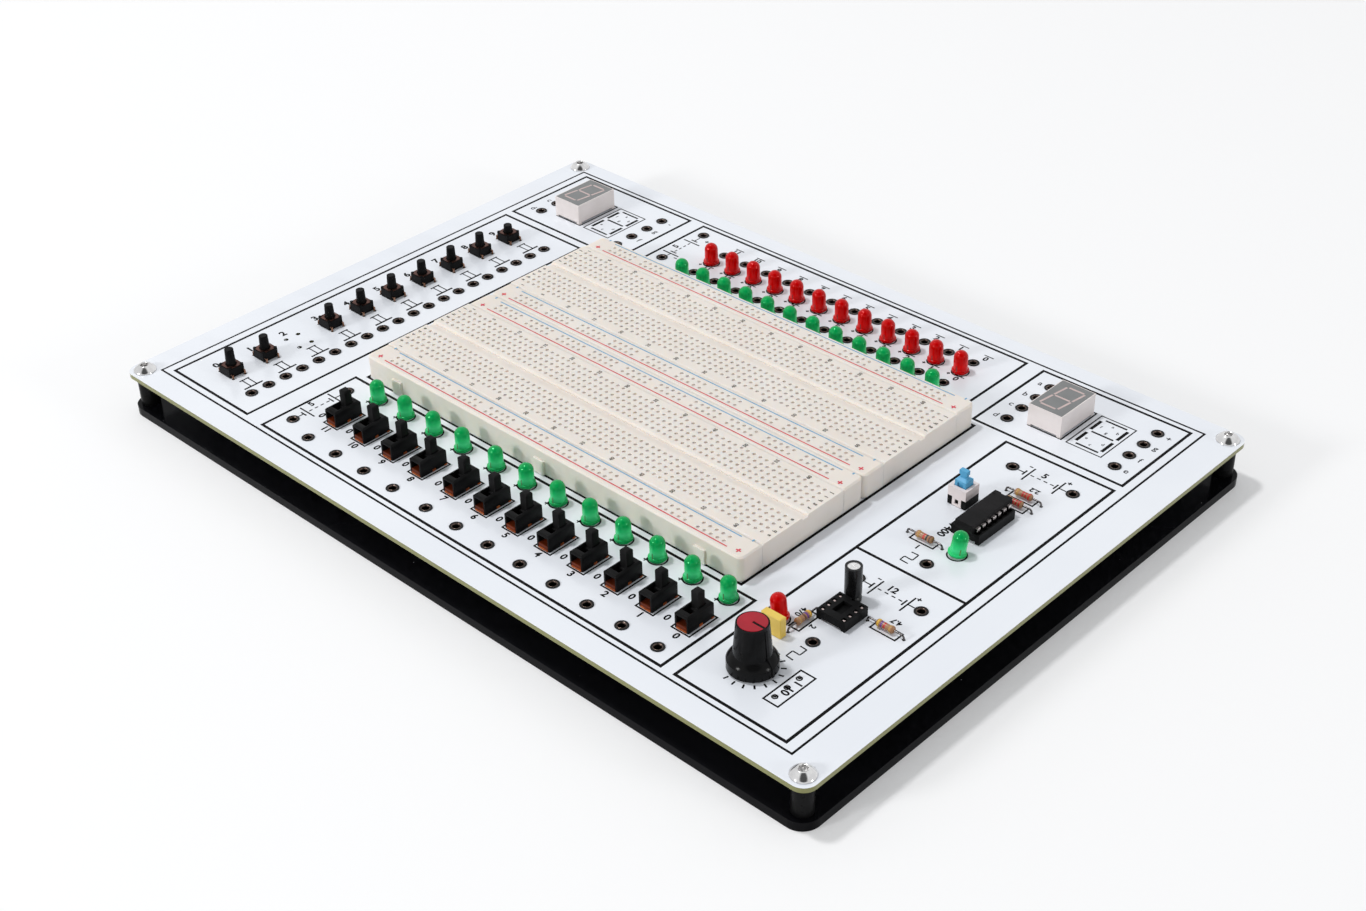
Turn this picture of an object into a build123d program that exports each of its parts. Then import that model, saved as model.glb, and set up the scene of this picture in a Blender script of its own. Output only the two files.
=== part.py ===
from build123d import *
import os
from math import cos, radians, sin, tan

os.makedirs("parts", exist_ok=True)

# Digital logic trainer: a printed circuit panel on four spacers over a base plate, with a pair of
# breadboards in the middle and banks of switches, buttons, lamps, displays and patch sockets
# round them. Origin: centre of the base plate's underside. +X right, +Y to the back, +Z up. mm.

# ---------------------------------------------------------------- driving dimensions
# panel and base
PANEL_LENGTH = 300.0
PANEL_DEPTH = 213.0
PANEL_THICKNESS = 1.6
PANEL_CORNER = 4.5
BASE_THICKNESS = 3.0
BASE_CORNER = 6.0
SPACER_HEIGHT = 11.0
SPACER_DIAMETER = 6.4
SPACER_EDGE = 0.25
SCREW_INSET = 5.0
SCREW_DIAMETER = 4.0
SCREW_HEAD_DIAMETER = 7.6
SCREW_HEAD_HEIGHT = 2.2
SCREW_RIM_HEIGHT = 0.25
SCREW_CROWN_EDGE = 0.45
SCREW_DOME_BULGE = -0.19
SCREW_SOCKET_WIDTH = 2.5
SCREW_SOCKET_DEPTH = 1.3
SCREW_GRIP = 5.0
SINK_HEAD_DIAMETER = 7.5
SINK_HEAD_HEIGHT = 2.2

# clearances
SCREW_CLEARANCE = 0.2
THREAD_CLEARANCE = 0.05
LEAD_CLEARANCE = 0.1
SLIDING_CLEARANCE = 0.25
SHAFT_CLEARANCE = 0.05
STRIP_JOINT = 0.06
SEAT_GAP = 0.2

# leads
LEAD_WIDTH = 0.6
LEAD_TAIL = 1.4
WIRE_DIAMETER = 0.6
WIRE_BEND = 0.9

# breadboards
CONTACT_PITCH = 2.54
COLUMNS = 63
ROWS_PER_SIDE = 5
ROW_GAP = 7.62
BUS_GROUPS = 10
BUS_GROUP_SIZE = 5
CONTACT_HOLE = 1.25
TERMINAL_LENGTH = 166.2
TERMINAL_WIDTH = 36.2
TERMINAL_SHIFT = 0.5
BUS_WIDTH = 9.3
STRIP_HEIGHT = 8.5
STRIP_SKIN = 1.6
STRIP_WALL = 1.1
STRIP_EDGE = 0.5
STRIP_CORNER = 2.0
GROOVE_WIDTH = 2.4
GROOVE_DEPTH = 0.9
BACKING_THICKNESS = 0.3
BACKING_INSET = 0.6
BREADBOARD_PITCH = 55.0
BREADBOARD_X = -1.8
BREADBOARD_Y = 0.5
CLIP_WIDTH = 1.3
CLIP_SHEET = 0.25
CLIP_MARGIN = 0.5
LUG_WIDTH = 4.6
LUG_HEIGHT = 5.0
LUG_REACH = 0.8
LUG_PITCH = 67.5

# patch sockets
SOCKET_RIM_DIAMETER = 4.3
SOCKET_RIM_HEIGHT = 0.25
SOCKET_BARREL_DIAMETER = 3.7
SOCKET_DEPTH = 8.0
SLEEVE_DIAMETER = 3.0
SLEEVE_BORE = 2.1
SLEEVE_LEAD_IN = 0.3

# lamps
LAMP_DIAMETER = 4.8
LAMP_FLANGE_DIAMETER = 5.8
LAMP_FLANGE_HEIGHT = 1.0
LAMP_HEIGHT = 7.8
LAMP_LEAD_PITCH = 2.54
LAMP_FLAT = 0.35

# slide-switch bank
SWITCH_PITCH = 13.88
SWITCH_BANK_GAP = 15.5
SWITCHES_LEFT = 4
SWITCHES_RIGHT = 8
SWITCH_BANK_X = -71.1
SWITCH_SOCKET_Y = -90.3
SWITCH_BODY_Y = -75.65
SWITCH_LAMP_Y = -61.6
SWITCH_WIDTH = 5.2
SWITCH_LENGTH = 10.5
SWITCH_HEIGHT = 5.6
SWITCH_WALL = 0.7
SWITCH_ROOF = 1.0
SWITCH_EDGE = 0.5
SWITCH_TRAVEL = 3.2
SWITCH_PIN_PITCH = 3.0
KNOB_WIDTH = 2.8
KNOB_LENGTH = 2.7
KNOB_TOP = 10.5
KNOB_EDGE = 0.3
CARRIAGE_LENGTH = 3.8
CARRIAGE_HEIGHT = 1.2
WAFER_THICKNESS = 1.6
SWITCH_SUPPLY_X = -83.25
SWITCH_SUPPLY_FRONT_Y = -87.0
SWITCH_SUPPLY_BACK_Y = -64.6

# push-button bank
BUTTONS = 10
EMPTY_BUTTON = 2
TALL_BUTTON = 0
SHORT_BUTTON = 9
BUTTON_PITCH = 13.86
BUTTON_X = -121.5
BUTTON_FIRST_Y = -82.9
BUTTON_SOCKET_X = -106.15
BUTTON_BODY = 6.0
BUTTON_BODY_HEIGHT = 3.1
BUTTON_CORNER = 0.3
BUTTON_POST_DIAMETER = 1.1
BUTTON_POST_HEIGHT = 0.35
BUTTON_COVER = 0.25
BUTTON_LEG_SPAN = 7.54
BUTTON_LEG_PITCH = 4.8
BUTTON_TRAVEL = 0.25
PLUNGER_DIAMETER = 3.4
PLUNGER_TIP_DIAMETER = 3.0
PLUNGER_TOP = 8.3
PLUNGER_TOP_TALL = 9.3
PLUNGER_TOP_SHORT = 6.3
PLUNGER_FOOT = 1.35

# output bank
OUTPUTS = 12
OUTPUT_PITCH = 10.16
OUTPUT_X = 2.85
OUTPUT_BACK_SOCKET_Y = 85.6
OUTPUT_FRONT_SOCKET_Y = 69.2
OUTPUT_RED_LAMP_Y = 78.5
OUTPUT_GREEN_LAMP_Y = 63.1
OUTPUT_SUPPLY_X = -69.35
OUTPUT_SUPPLY_BACK_Y = 91.8
OUTPUT_SUPPLY_FRONT_Y = 69.65

# seven-segment displays
DISPLAY_LEFT_EDGE_X = -137.0
DISPLAY_RIGHT_EDGE_X = 79.0
DISPLAY_SOCKET_LEFT = 7.8
DISPLAY_SOCKET_RIGHT = 48.1
DISPLAY_SOCKET_BACK_Y = 89.8
DISPLAY_SOCKET_PITCH = 8.03
DISPLAY_SOCKETS = 4
DISPLAY_CENTRE = 20.7
DISPLAY_Y = 76.5
DISPLAY_WIDTH = 12.5
DISPLAY_LENGTH = 18.7
DISPLAY_HEIGHT = 7.9
DISPLAY_FACE = 0.35
DISPLAY_RIM = 0.25
DISPLAY_FOOT = 1.4
DISPLAY_FOOT_HEIGHT = 0.7
DISPLAY_PIN_ROW = 15.24
DISPLAY_PINS = 5
DIGIT_HEIGHT = 12.6
DIGIT_WIDTH = 6.9
DIGIT_BAR = 1.15
DIGIT_GAP = 0.25
DIGIT_SLANT = 8.0

# pulse section
PULSE_SUPPLY_Y = 44.85
PULSE_SUPPLY_LEFT_X = 104.0
PULSE_SUPPLY_RIGHT_X = 126.0
PULSE_OUT = (114.7, -11.8)
PULSE_CHIP = (115.4, 14.1)
PULSE_CHIP_PINS = 7
PULSE_SWITCH = (103.9, 19.65)
PULSE_LAMP = (118.5, -2.5)
PULSE_LAMP_LEAN = 8.0
PULSE_LAMP_TOWARD = 45.0
PULSE_RESISTOR = (107.3, -3.2)
PULL_UP_X = 116.3
PULL_UP_BACK_Y = 33.3
PULL_UP_FRONT_Y = 28.4

# clock section
CLOCK_SUPPLY_Y = -30.0
CLOCK_SUPPLY_LEFT_X = 104.3
CLOCK_SUPPLY_RIGHT_X = 126.85
CLOCK_OUT = (113.2, -60.4)
CLOCK_SOCKET = (112.0, -46.5)
CLOCK_SOCKET_PINS = 4
CLOCK_LAMP = (99.9, -58.9)
CLOCK_LAMP_LEAN = 10.0
CLOCK_LAMP_TOWARD = 160.0
CLOCK_CAPACITOR = (109.2, -38.4)
CLOCK_FILM_CAPACITOR = (102.4, -64.35)
CLOCK_RESISTOR_ACROSS = (124.6, -43.0)
CLOCK_RESISTOR_ALONG = (105.35, -55.3)
CLOCK_KNOB = (107.9, -79.1)

# chips and their sockets
CHIP_ROW = 7.62
CHIP_SOCKET_WIDTH = 10.1
CHIP_SOCKET_HEIGHT = 3.3
CHIP_SOCKET_WINDOW = 3.4
CHIP_SOCKET_FOOT = 0.7
CHIP_WIDTH = 6.4
CHIP_OVERHANG = 1.0
CHIP_THICKNESS = 2.9
CHIP_LIFT = 0.15
CHIP_LEG_SHOULDER = 1.4
CHIP_LEG_WIDTH = 0.5
CHIP_LEG_SHEET = 0.3
CONTACT_WELL = 1.3

# pulse switch
SELECT_SIZE = 6.6
SELECT_HEIGHT = 6.6
SELECT_SKIRT = 3.2
SELECT_WALL = 0.9
SELECT_CAP_X = 4.0
SELECT_CAP_Y = 3.8
SELECT_CAP_RISE = 2.5
SELECT_NECK_X = 2.2
SELECT_NECK_Y = 1.2
SELECT_NECK_RISE = 1.1
SELECT_HEAD_X = 2.8
SELECT_HEAD_Y = 1.6
SELECT_HEAD_RISE = 1.5
SELECT_TRAVEL = 1.5
SELECT_PIN_PITCH = 2.0
SELECT_PIN_ROW = 4.5

# resistors and capacitors
RESISTOR_LENGTH = 6.3
RESISTOR_DIAMETER = 2.4
RESISTOR_WAIST = 2.0
RESISTOR_SPAN = 12.7
CAPACITOR_DIAMETER = 5.1
CAPACITOR_HEIGHT = 11.6
CAPACITOR_SLEEVE = 0.15
CAPACITOR_LIP = 0.6
CAPACITOR_CRIMP_HEIGHT = 1.6
CAPACITOR_CRIMP_DEPTH = 0.3
CAPACITOR_LEAD_PITCH = 2.0
FILM_LENGTH = 7.2
FILM_WIDTH = 2.5
FILM_HEIGHT = 6.5
FILM_EDGE = 0.3
FILM_LEAD_PITCH = 5.0

# clock potentiometer and its knob
POT_DIAMETER = 16.4
POT_HEIGHT = 7.2
POT_FLOOR = 0.8
BUSHING_DIAMETER = 7.0
BUSHING_RISE = 4.0
POT_NUT_WIDTH = 10.0
POT_NUT_HEIGHT = 2.0
POT_WASHER_DIAMETER = 11.4
POT_WASHER_THICKNESS = 0.5
SHAFT_DIAMETER = 6.0
SHAFT_RISE = 12.6
POT_PIN_REACH = 12.3
POT_PIN_PITCH = 5.0
POT_PINS = 3
POT_TAB_THICKNESS = 1.0
DIAL_SKIRT_DIAMETER = 14.6
DIAL_SKIRT_HEIGHT = 3.4
DIAL_SHOULDER_HEIGHT = 5.4
DIAL_SHOULDER_BULGE = 0.57
DIAL_FOOT_DIAMETER = 11.0
DIAL_TOP_DIAMETER = 9.3
DIAL_TOP = 15.5
DIAL_FLOAT = 0.6
DIAL_HOLLOW_DIAMETER = 12.4
DIAL_HOLLOW_HEIGHT = 4.6
DIAL_CAP_DIAMETER = 8.3
DIAL_CAP_THICKNESS = 0.8
DIAL_CAP_PROUD = 0.15
DIAL_POINTER_WIDTH = 0.8
DIAL_RIB_WIDTH = 0.9
DIAL_RIB_PROUD = 0.25

# ---------------------------------------------------------------- worked-out levels and rows
BASE_TOP = BASE_THICKNESS
PANEL_BOTTOM = BASE_TOP + SPACER_HEIGHT
PANEL_TOP = PANEL_BOTTOM + PANEL_THICKNESS
SEAT = PANEL_TOP + SEAT_GAP
TAIL_END = PANEL_BOTTOM - LEAD_TAIL
STRIP_BOTTOM = PANEL_TOP + BACKING_THICKNESS

switch_bank_right_x = SWITCH_BANK_X + (SWITCHES_LEFT - 1) * SWITCH_PITCH + SWITCH_BANK_GAP
switch_xs = [SWITCH_BANK_X + i * SWITCH_PITCH for i in range(SWITCHES_LEFT)]
switch_xs += [switch_bank_right_x + i * SWITCH_PITCH for i in range(SWITCHES_RIGHT)]
slot_rear_y = SWITCH_BODY_Y + (KNOB_LENGTH + SWITCH_TRAVEL) / 2 + SLIDING_CLEARANCE
knob_y = slot_rear_y - SLIDING_CLEARANCE - KNOB_LENGTH / 2
button_ys = [BUTTON_FIRST_Y + i * BUTTON_PITCH for i in range(BUTTONS)]
fitted_buttons = [i for i in range(BUTTONS) if i != EMPTY_BUTTON]
output_xs = [OUTPUT_X + (i - (OUTPUTS - 1) / 2) * OUTPUT_PITCH for i in range(OUTPUTS)]
display_edges = (DISPLAY_LEFT_EDGE_X, DISPLAY_RIGHT_EDGE_X)
display_socket_ys = [DISPLAY_SOCKET_BACK_Y - i * DISPLAY_SOCKET_PITCH for i in range(DISPLAY_SOCKETS)]
breadboard_ys = (BREADBOARD_Y - BREADBOARD_PITCH / 2, BREADBOARD_Y + BREADBOARD_PITCH / 2)
bus_offset = (TERMINAL_WIDTH + BUS_WIDTH) / 2 + STRIP_JOINT

green_lamps = [(x, SWITCH_LAMP_Y) for x in switch_xs] + [(x, OUTPUT_GREEN_LAMP_Y) for x in output_xs]
red_lamps = [(x, OUTPUT_RED_LAMP_Y) for x in output_xs]

socket_places = [(x, SWITCH_SOCKET_Y) for x in switch_xs]
socket_places += [(SWITCH_SUPPLY_X, SWITCH_SUPPLY_FRONT_Y), (SWITCH_SUPPLY_X, SWITCH_SUPPLY_BACK_Y)]
socket_places += [(BUTTON_SOCKET_X, y + side * BUTTON_PITCH / 4) for y in button_ys for side in (-1, 1)]
socket_places += [(x, y) for x in output_xs for y in (OUTPUT_BACK_SOCKET_Y, OUTPUT_FRONT_SOCKET_Y)]
socket_places += [(OUTPUT_SUPPLY_X, OUTPUT_SUPPLY_BACK_Y), (OUTPUT_SUPPLY_X, OUTPUT_SUPPLY_FRONT_Y)]
for edge in display_edges:
    for reach in (DISPLAY_SOCKET_LEFT, DISPLAY_SOCKET_RIGHT):
        socket_places += [(edge + reach, y) for y in display_socket_ys]
socket_places += [(PULSE_SUPPLY_LEFT_X, PULSE_SUPPLY_Y), (PULSE_SUPPLY_RIGHT_X, PULSE_SUPPLY_Y), PULSE_OUT]
socket_places += [(CLOCK_SUPPLY_LEFT_X, CLOCK_SUPPLY_Y), (CLOCK_SUPPLY_RIGHT_X, CLOCK_SUPPLY_Y), CLOCK_OUT]

screw_x = PANEL_LENGTH / 2 - SCREW_INSET
screw_y = PANEL_DEPTH / 2 - SCREW_INSET
screw_places = [(sx * screw_x, sy * screw_y) for sx in (-1, 1) for sy in (-1, 1)]

resistors_across = [PULSE_RESISTOR, (PULL_UP_X, PULL_UP_BACK_Y), (PULL_UP_X, PULL_UP_FRONT_Y),
                    CLOCK_RESISTOR_ACROSS]


# ---------------------------------------------------------------- shared shapes
UPRIGHT = (Align.CENTER, Align.CENTER, Align.MIN)


def pierced_face(outline, holes, level):
    """The outline face at a level, with round holes given as (x, y, diameter)."""
    rims = [Wire.make_circle(size / 2, Plane(origin=(x, y, level))) for x, y, size in holes]
    return Face(outline.outer_wire(), rims)


def rectangle_grid(centre, nx, ny, dx, dy):
    """Centres of an nx by ny grid round a centre point."""
    cx, cy = centre
    return [(cx + (i - (nx - 1) / 2) * dx, cy + (j - (ny - 1) / 2) * dy)
            for i in range(nx) for j in range(ny)]


def lamp_lift(angle):
    """How far a tipped lamp stands up so the low side of its flange clears the panel."""
    return LAMP_FLANGE_DIAMETER / 2 * sin(radians(angle))


def lean(place, angle, toward):
    """A location over a place on the panel's top, tipped by an angle toward a direction in degrees."""
    spot = Location((*place, SEAT + lamp_lift(angle)))
    return spot * Location((0, 0, 0), (0, 0, toward)) * Location((0, 0, 0), (0, angle, 0))


def save(piece, name):
    """Label a finished piece and write it to its own file."""
    piece.part.label = name
    export_step(piece.part, f"parts/{name}.step")


# ---------------------------------------------------------------- where leads pass the panel
lamp_leads = [(x + side * LAMP_LEAD_PITCH / 2, y) for x, y in green_lamps + red_lamps for side in (-1, 1)]
leaning_lamps = [(PULSE_LAMP, PULSE_LAMP_LEAN, PULSE_LAMP_TOWARD),
                 (CLOCK_LAMP, CLOCK_LAMP_LEAN, CLOCK_LAMP_TOWARD)]
leaning_leads = [(x + side * LAMP_LEAD_PITCH / 2, y) for (x, y), _, _ in leaning_lamps for side in (-1, 1)]
switch_pins = []
for x in switch_xs:
    switch_pins += rectangle_grid((x, SWITCH_BODY_Y), 1, 3, 0, SWITCH_PIN_PITCH)
button_holes = []
for y in button_ys:
    button_holes += rectangle_grid((BUTTON_X, y), 2, 2, BUTTON_LEG_SPAN, BUTTON_LEG_PITCH)
display_pins = []
for edge in display_edges:
    centre = (edge + DISPLAY_CENTRE, DISPLAY_Y)
    display_pins += rectangle_grid(centre, DISPLAY_PINS, 2, CONTACT_PITCH, DISPLAY_PIN_ROW)
chip_contacts = rectangle_grid(PULSE_CHIP, 2, PULSE_CHIP_PINS, CHIP_ROW, CONTACT_PITCH)
chip_contacts += rectangle_grid(CLOCK_SOCKET, 2, CLOCK_SOCKET_PINS, CHIP_ROW, CONTACT_PITCH)
select_pins = rectangle_grid(PULSE_SWITCH, 2, 3, SELECT_PIN_ROW, SELECT_PIN_PITCH)
capacitor_leads = rectangle_grid(CLOCK_CAPACITOR, 2, 1, CAPACITOR_LEAD_PITCH, 0)
film_leads = rectangle_grid(CLOCK_FILM_CAPACITOR, 2, 1, FILM_LEAD_PITCH, 0)
resistor_ends = [(x + side * RESISTOR_SPAN / 2, y) for x, y in resistors_across for side in (-1, 1)]
along_x, along_y = CLOCK_RESISTOR_ALONG
resistor_ends += [(along_x, along_y + side * RESISTOR_SPAN / 2) for side in (-1, 1)]
pot_pins = rectangle_grid((CLOCK_KNOB[0] + POT_PIN_REACH, CLOCK_KNOB[1]), 1, POT_PINS, 0, POT_PIN_PITCH)

square_leads = lamp_leads + switch_pins + display_pins + chip_contacts + select_pins
square_leads += capacitor_leads + film_leads + pot_pins
lead_hole = LEAD_WIDTH * 2 ** 0.5 + 2 * LEAD_CLEARANCE
lead_holes = square_leads + leaning_leads + button_holes + resistor_ends

# ---------------------------------------------------------------- base plate, spacers and screws
with BuildPart() as base_plate:
    with BuildSketch():
        RectangleRounded(PANEL_LENGTH, PANEL_DEPTH, BASE_CORNER)
    extrude(amount=BASE_THICKNESS)
    with Locations(*[(x, y, 0) for x, y in screw_places]):
        Cylinder(SCREW_DIAMETER / 2 + SCREW_CLEARANCE, BASE_THICKNESS,
                 align=UPRIGHT, mode=Mode.SUBTRACT)
        Cone(SINK_HEAD_DIAMETER / 2 + SCREW_CLEARANCE, SCREW_DIAMETER / 2 + SCREW_CLEARANCE,
             SINK_HEAD_HEIGHT, align=UPRIGHT, mode=Mode.SUBTRACT)
save(base_plate, "base_plate")

with BuildPart() as spacers:
    with BuildSketch(Plane.XY.offset(BASE_TOP)):
        with Locations(*screw_places):
            Circle(SPACER_DIAMETER / 2)
            Circle(SCREW_DIAMETER / 2 + THREAD_CLEARANCE, mode=Mode.SUBTRACT)
    extrude(amount=SPACER_HEIGHT)
    chamfer(spacers.edges().filter_by(GeomType.CIRCLE).filter_by(
        lambda circle: circle.radius > SCREW_DIAMETER / 2 + SCREW_CLEARANCE), SPACER_EDGE)
save(spacers, "spacers")

with BuildPart() as button_head_screw:
    with BuildSketch(Plane.XZ):
        with BuildLine():
            crown = SCREW_SOCKET_WIDTH / 2 + SCREW_CROWN_EDGE
            rim = SCREW_HEAD_DIAMETER / 2
            tip = -PANEL_THICKNESS - SCREW_GRIP
            Polyline((0, tip), (SCREW_DIAMETER / 2, tip), (SCREW_DIAMETER / 2, 0), (rim, 0),
                     (rim, SCREW_RIM_HEIGHT))
            SagittaArc((rim, SCREW_RIM_HEIGHT), (crown, SCREW_HEAD_HEIGHT), SCREW_DOME_BULGE)
            Polyline((crown, SCREW_HEAD_HEIGHT), (0, SCREW_HEAD_HEIGHT), (0, tip))
        make_face()
    revolve(axis=Axis.Z)
    with BuildSketch(Plane.XY.offset(SCREW_HEAD_HEIGHT)):
        RegularPolygon(SCREW_SOCKET_WIDTH / 2, 6, major_radius=False)
    extrude(amount=-SCREW_SOCKET_DEPTH, mode=Mode.SUBTRACT)

with BuildPart() as corner_screws:
    with Locations(*[(x, y, PANEL_TOP) for x, y in screw_places]):
        add(button_head_screw.part)
save(corner_screws, "corner_screws")

with BuildPart() as sunk_screw:
    Cone(SINK_HEAD_DIAMETER / 2, SCREW_DIAMETER / 2, SINK_HEAD_HEIGHT, align=UPRIGHT)
    Cylinder(SCREW_DIAMETER / 2, BASE_THICKNESS + SCREW_GRIP - SCREW_CLEARANCE,
             align=UPRIGHT)
    with BuildSketch(Plane.XY):
        RegularPolygon(SCREW_SOCKET_WIDTH / 2, 6, major_radius=False)
    extrude(amount=SCREW_SOCKET_DEPTH, mode=Mode.SUBTRACT)

with BuildPart() as base_screws:
    with Locations(*[(x, y, 0) for x, y in screw_places]):
        add(sunk_screw.part)
save(base_screws, "base_screws")

# ---------------------------------------------------------------- panel
with BuildSketch() as panel_outline:
    RectangleRounded(PANEL_LENGTH, PANEL_DEPTH, PANEL_CORNER)

panel_holes = [(x, y, SCREW_DIAMETER + 2 * SCREW_CLEARANCE) for x, y in screw_places]
panel_holes += [(x, y, SOCKET_BARREL_DIAMETER) for x, y in socket_places]
panel_holes += [(x, y, lead_hole) for x, y in lead_holes]
panel_holes += [(*CLOCK_KNOB, BUSHING_DIAMETER + 2 * SCREW_CLEARANCE)]

with BuildPart() as panel_board:
    panel_underside = panel_outline.sketch.face().moved(Location((0, 0, PANEL_BOTTOM)))
    add(pierced_face(panel_underside, panel_holes, PANEL_BOTTOM))
    extrude(amount=PANEL_THICKNESS)
save(panel_board, "panel_board")

# ---------------------------------------------------------------- breadboards
row_offset = (ROW_GAP + (ROWS_PER_SIDE - 1) * CONTACT_PITCH) / 2
side_width = ROWS_PER_SIDE * CONTACT_PITCH + CLIP_MARGIN
column_span = COLUMNS * CONTACT_PITCH + CLIP_MARGIN
bus_step = (COLUMNS - 3) * CONTACT_PITCH / BUS_GROUPS
cavity_height = STRIP_HEIGHT - STRIP_SKIN

with BuildSketch() as terminal_outline:
    Rectangle(TERMINAL_LENGTH, TERMINAL_WIDTH)

with BuildSketch() as bus_outline:
    Rectangle(TERMINAL_LENGTH, BUS_WIDTH)
    fillet(bus_outline.vertices().group_by(Axis.Y)[0], STRIP_CORNER)

terminal_holes = []
for side in (-1, 1):
    side_middle = (0, TERMINAL_SHIFT + side * row_offset)
    side_grid = rectangle_grid(side_middle, COLUMNS, ROWS_PER_SIDE, CONTACT_PITCH, CONTACT_PITCH)
    terminal_holes += [(x, y, CONTACT_HOLE) for x, y in side_grid]

bus_holes = []
for group in range(BUS_GROUPS):
    group_x = (group - (BUS_GROUPS - 1) / 2) * bus_step
    group_grid = rectangle_grid((group_x, 0), BUS_GROUP_SIZE, 2, CONTACT_PITCH, CONTACT_PITCH)
    bus_holes += [(x, y, CONTACT_HOLE) for x, y in group_grid]

with BuildPart() as terminal_strip:
    add(pierced_face(terminal_outline.sketch.face(), terminal_holes, 0))
    extrude(amount=STRIP_HEIGHT)
    with Locations((0, TERMINAL_SHIFT + row_offset), (0, TERMINAL_SHIFT - row_offset)):
        Box(column_span, side_width, cavity_height,
            align=UPRIGHT, mode=Mode.SUBTRACT)
    with Locations((0, TERMINAL_SHIFT, STRIP_HEIGHT)):
        Box(TERMINAL_LENGTH, GROOVE_WIDTH, 2 * GROOVE_DEPTH, mode=Mode.SUBTRACT)
    top_rim = terminal_strip.edges().filter_by(GeomType.LINE).group_by(Axis.Z)[-1]
    chamfer(top_rim.filter_by(Axis.X), STRIP_EDGE)

with BuildPart() as bus_strip:
    add(pierced_face(bus_outline.sketch.face(), bus_holes, 0))
    extrude(amount=STRIP_HEIGHT)
    with Locations((0, CONTACT_PITCH / 2), (0, -CONTACT_PITCH / 2)):
        Box(column_span, CONTACT_PITCH - STRIP_WALL / 2, cavity_height,
            align=UPRIGHT, mode=Mode.SUBTRACT)
    bus_top = bus_strip.faces().sort_by(Axis.Z)[-1]
    chamfer(bus_top.outer_wire().edges(), STRIP_EDGE)

with BuildPart() as side_lug:
    with BuildSketch(Plane.XY):
        Trapezoid(LUG_WIDTH, LUG_REACH, 75)
    extrude(amount=LUG_HEIGHT)

strip_places = {"front": breadboard_ys[0], "rear": breadboard_ys[1]}
for end_name, board_y in strip_places.items():
    with BuildPart() as placed_terminal:
        add(terminal_strip.part.moved(Location((BREADBOARD_X, board_y, STRIP_BOTTOM))))
    save(placed_terminal, f"{end_name}_terminal_strip")

    with BuildPart() as placed_bus:
        outer = Location((BREADBOARD_X, board_y - bus_offset, STRIP_BOTTOM))
        inner = Location((BREADBOARD_X, board_y + bus_offset, STRIP_BOTTOM), (0, 0, 180))
        add([bus_strip.part.moved(outer), bus_strip.part.moved(inner)])
        if end_name == "front":
            lug_y = board_y - bus_offset - BUS_WIDTH / 2 - LUG_REACH / 2
            with Locations(*[(BREADBOARD_X + i * LUG_PITCH, lug_y, STRIP_BOTTOM) for i in (-1, 0, 1)]):
                add(side_lug.part, rotation=(0, 0, 180))
    save(placed_bus, f"{end_name}_bus_strips")

clip_height = cavity_height - SEAT_GAP
with BuildPart() as breadboard_clips:
    for board_y in breadboard_ys:
        for side in (-1, 1):
            clip_end = board_y + TERMINAL_SHIFT + side * row_offset + side_width / 2 - CLIP_MARGIN
            with BuildSketch(Plane.XZ.offset(-clip_end)):
                with Locations((BREADBOARD_X, STRIP_BOTTOM + clip_height / 2)):
                    with GridLocations(CONTACT_PITCH, 0, COLUMNS, 1):
                        Rectangle(CLIP_WIDTH, clip_height)
                        with Locations((0, CLIP_SHEET)):
                            Rectangle(CLIP_WIDTH - 2 * CLIP_SHEET, clip_height, mode=Mode.SUBTRACT)
            extrude(amount=side_width - 2 * CLIP_MARGIN)
        rail_rows = [board_y + side * bus_offset + row * CONTACT_PITCH / 2
                     for side in (-1, 1) for row in (-1, 1)]
        with BuildSketch(Plane.YZ.offset(BREADBOARD_X - column_span / 2 + CLIP_MARGIN)):
            with Locations(*[(y, STRIP_BOTTOM + clip_height / 2) for y in rail_rows]):
                Rectangle(CLIP_WIDTH, clip_height)
                with Locations((0, CLIP_SHEET)):
                    Rectangle(CLIP_WIDTH - 2 * CLIP_SHEET, clip_height, mode=Mode.SUBTRACT)
        extrude(amount=column_span - 2 * CLIP_MARGIN)
save(breadboard_clips, "breadboard_clips")

board_depth = TERMINAL_WIDTH + 2 * BUS_WIDTH + 2 * STRIP_JOINT
with BuildPart() as breadboard_backing:
    with BuildSketch(Plane.XY.offset(PANEL_TOP)):
        with Locations(*[(BREADBOARD_X, y) for y in breadboard_ys]):
            RectangleRounded(TERMINAL_LENGTH - 2 * BACKING_INSET, board_depth - 2 * BACKING_INSET,
                             STRIP_CORNER)
    extrude(amount=BACKING_THICKNESS)
save(breadboard_backing, "breadboard_backing")

# ---------------------------------------------------------------- patch sockets
with BuildPart() as patch_socket_collars:
    with BuildSketch(Plane.XY.offset(PANEL_TOP + SOCKET_RIM_HEIGHT)):
        with Locations(*socket_places):
            Circle(SOCKET_BARREL_DIAMETER / 2)
            Circle(SLEEVE_DIAMETER / 2, mode=Mode.SUBTRACT)
    extrude(amount=-SOCKET_DEPTH)
    with BuildSketch(Plane.XY.offset(PANEL_TOP)):
        with Locations(*socket_places):
            Circle(SOCKET_RIM_DIAMETER / 2)
            Circle(SLEEVE_DIAMETER / 2, mode=Mode.SUBTRACT)
    extrude(amount=SOCKET_RIM_HEIGHT)
save(patch_socket_collars, "patch_socket_collars")

with BuildPart() as socket_sleeve:
    Cylinder(SLEEVE_DIAMETER / 2, SOCKET_DEPTH, align=(Align.CENTER, Align.CENTER, Align.MAX))
    Hole(SLEEVE_BORE / 2, depth=SOCKET_DEPTH - SLEEVE_LEAD_IN)
    chamfer(socket_sleeve.faces().sort_by(Axis.Z)[-1].inner_wires()[0].edges(), SLEEVE_LEAD_IN)

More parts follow.
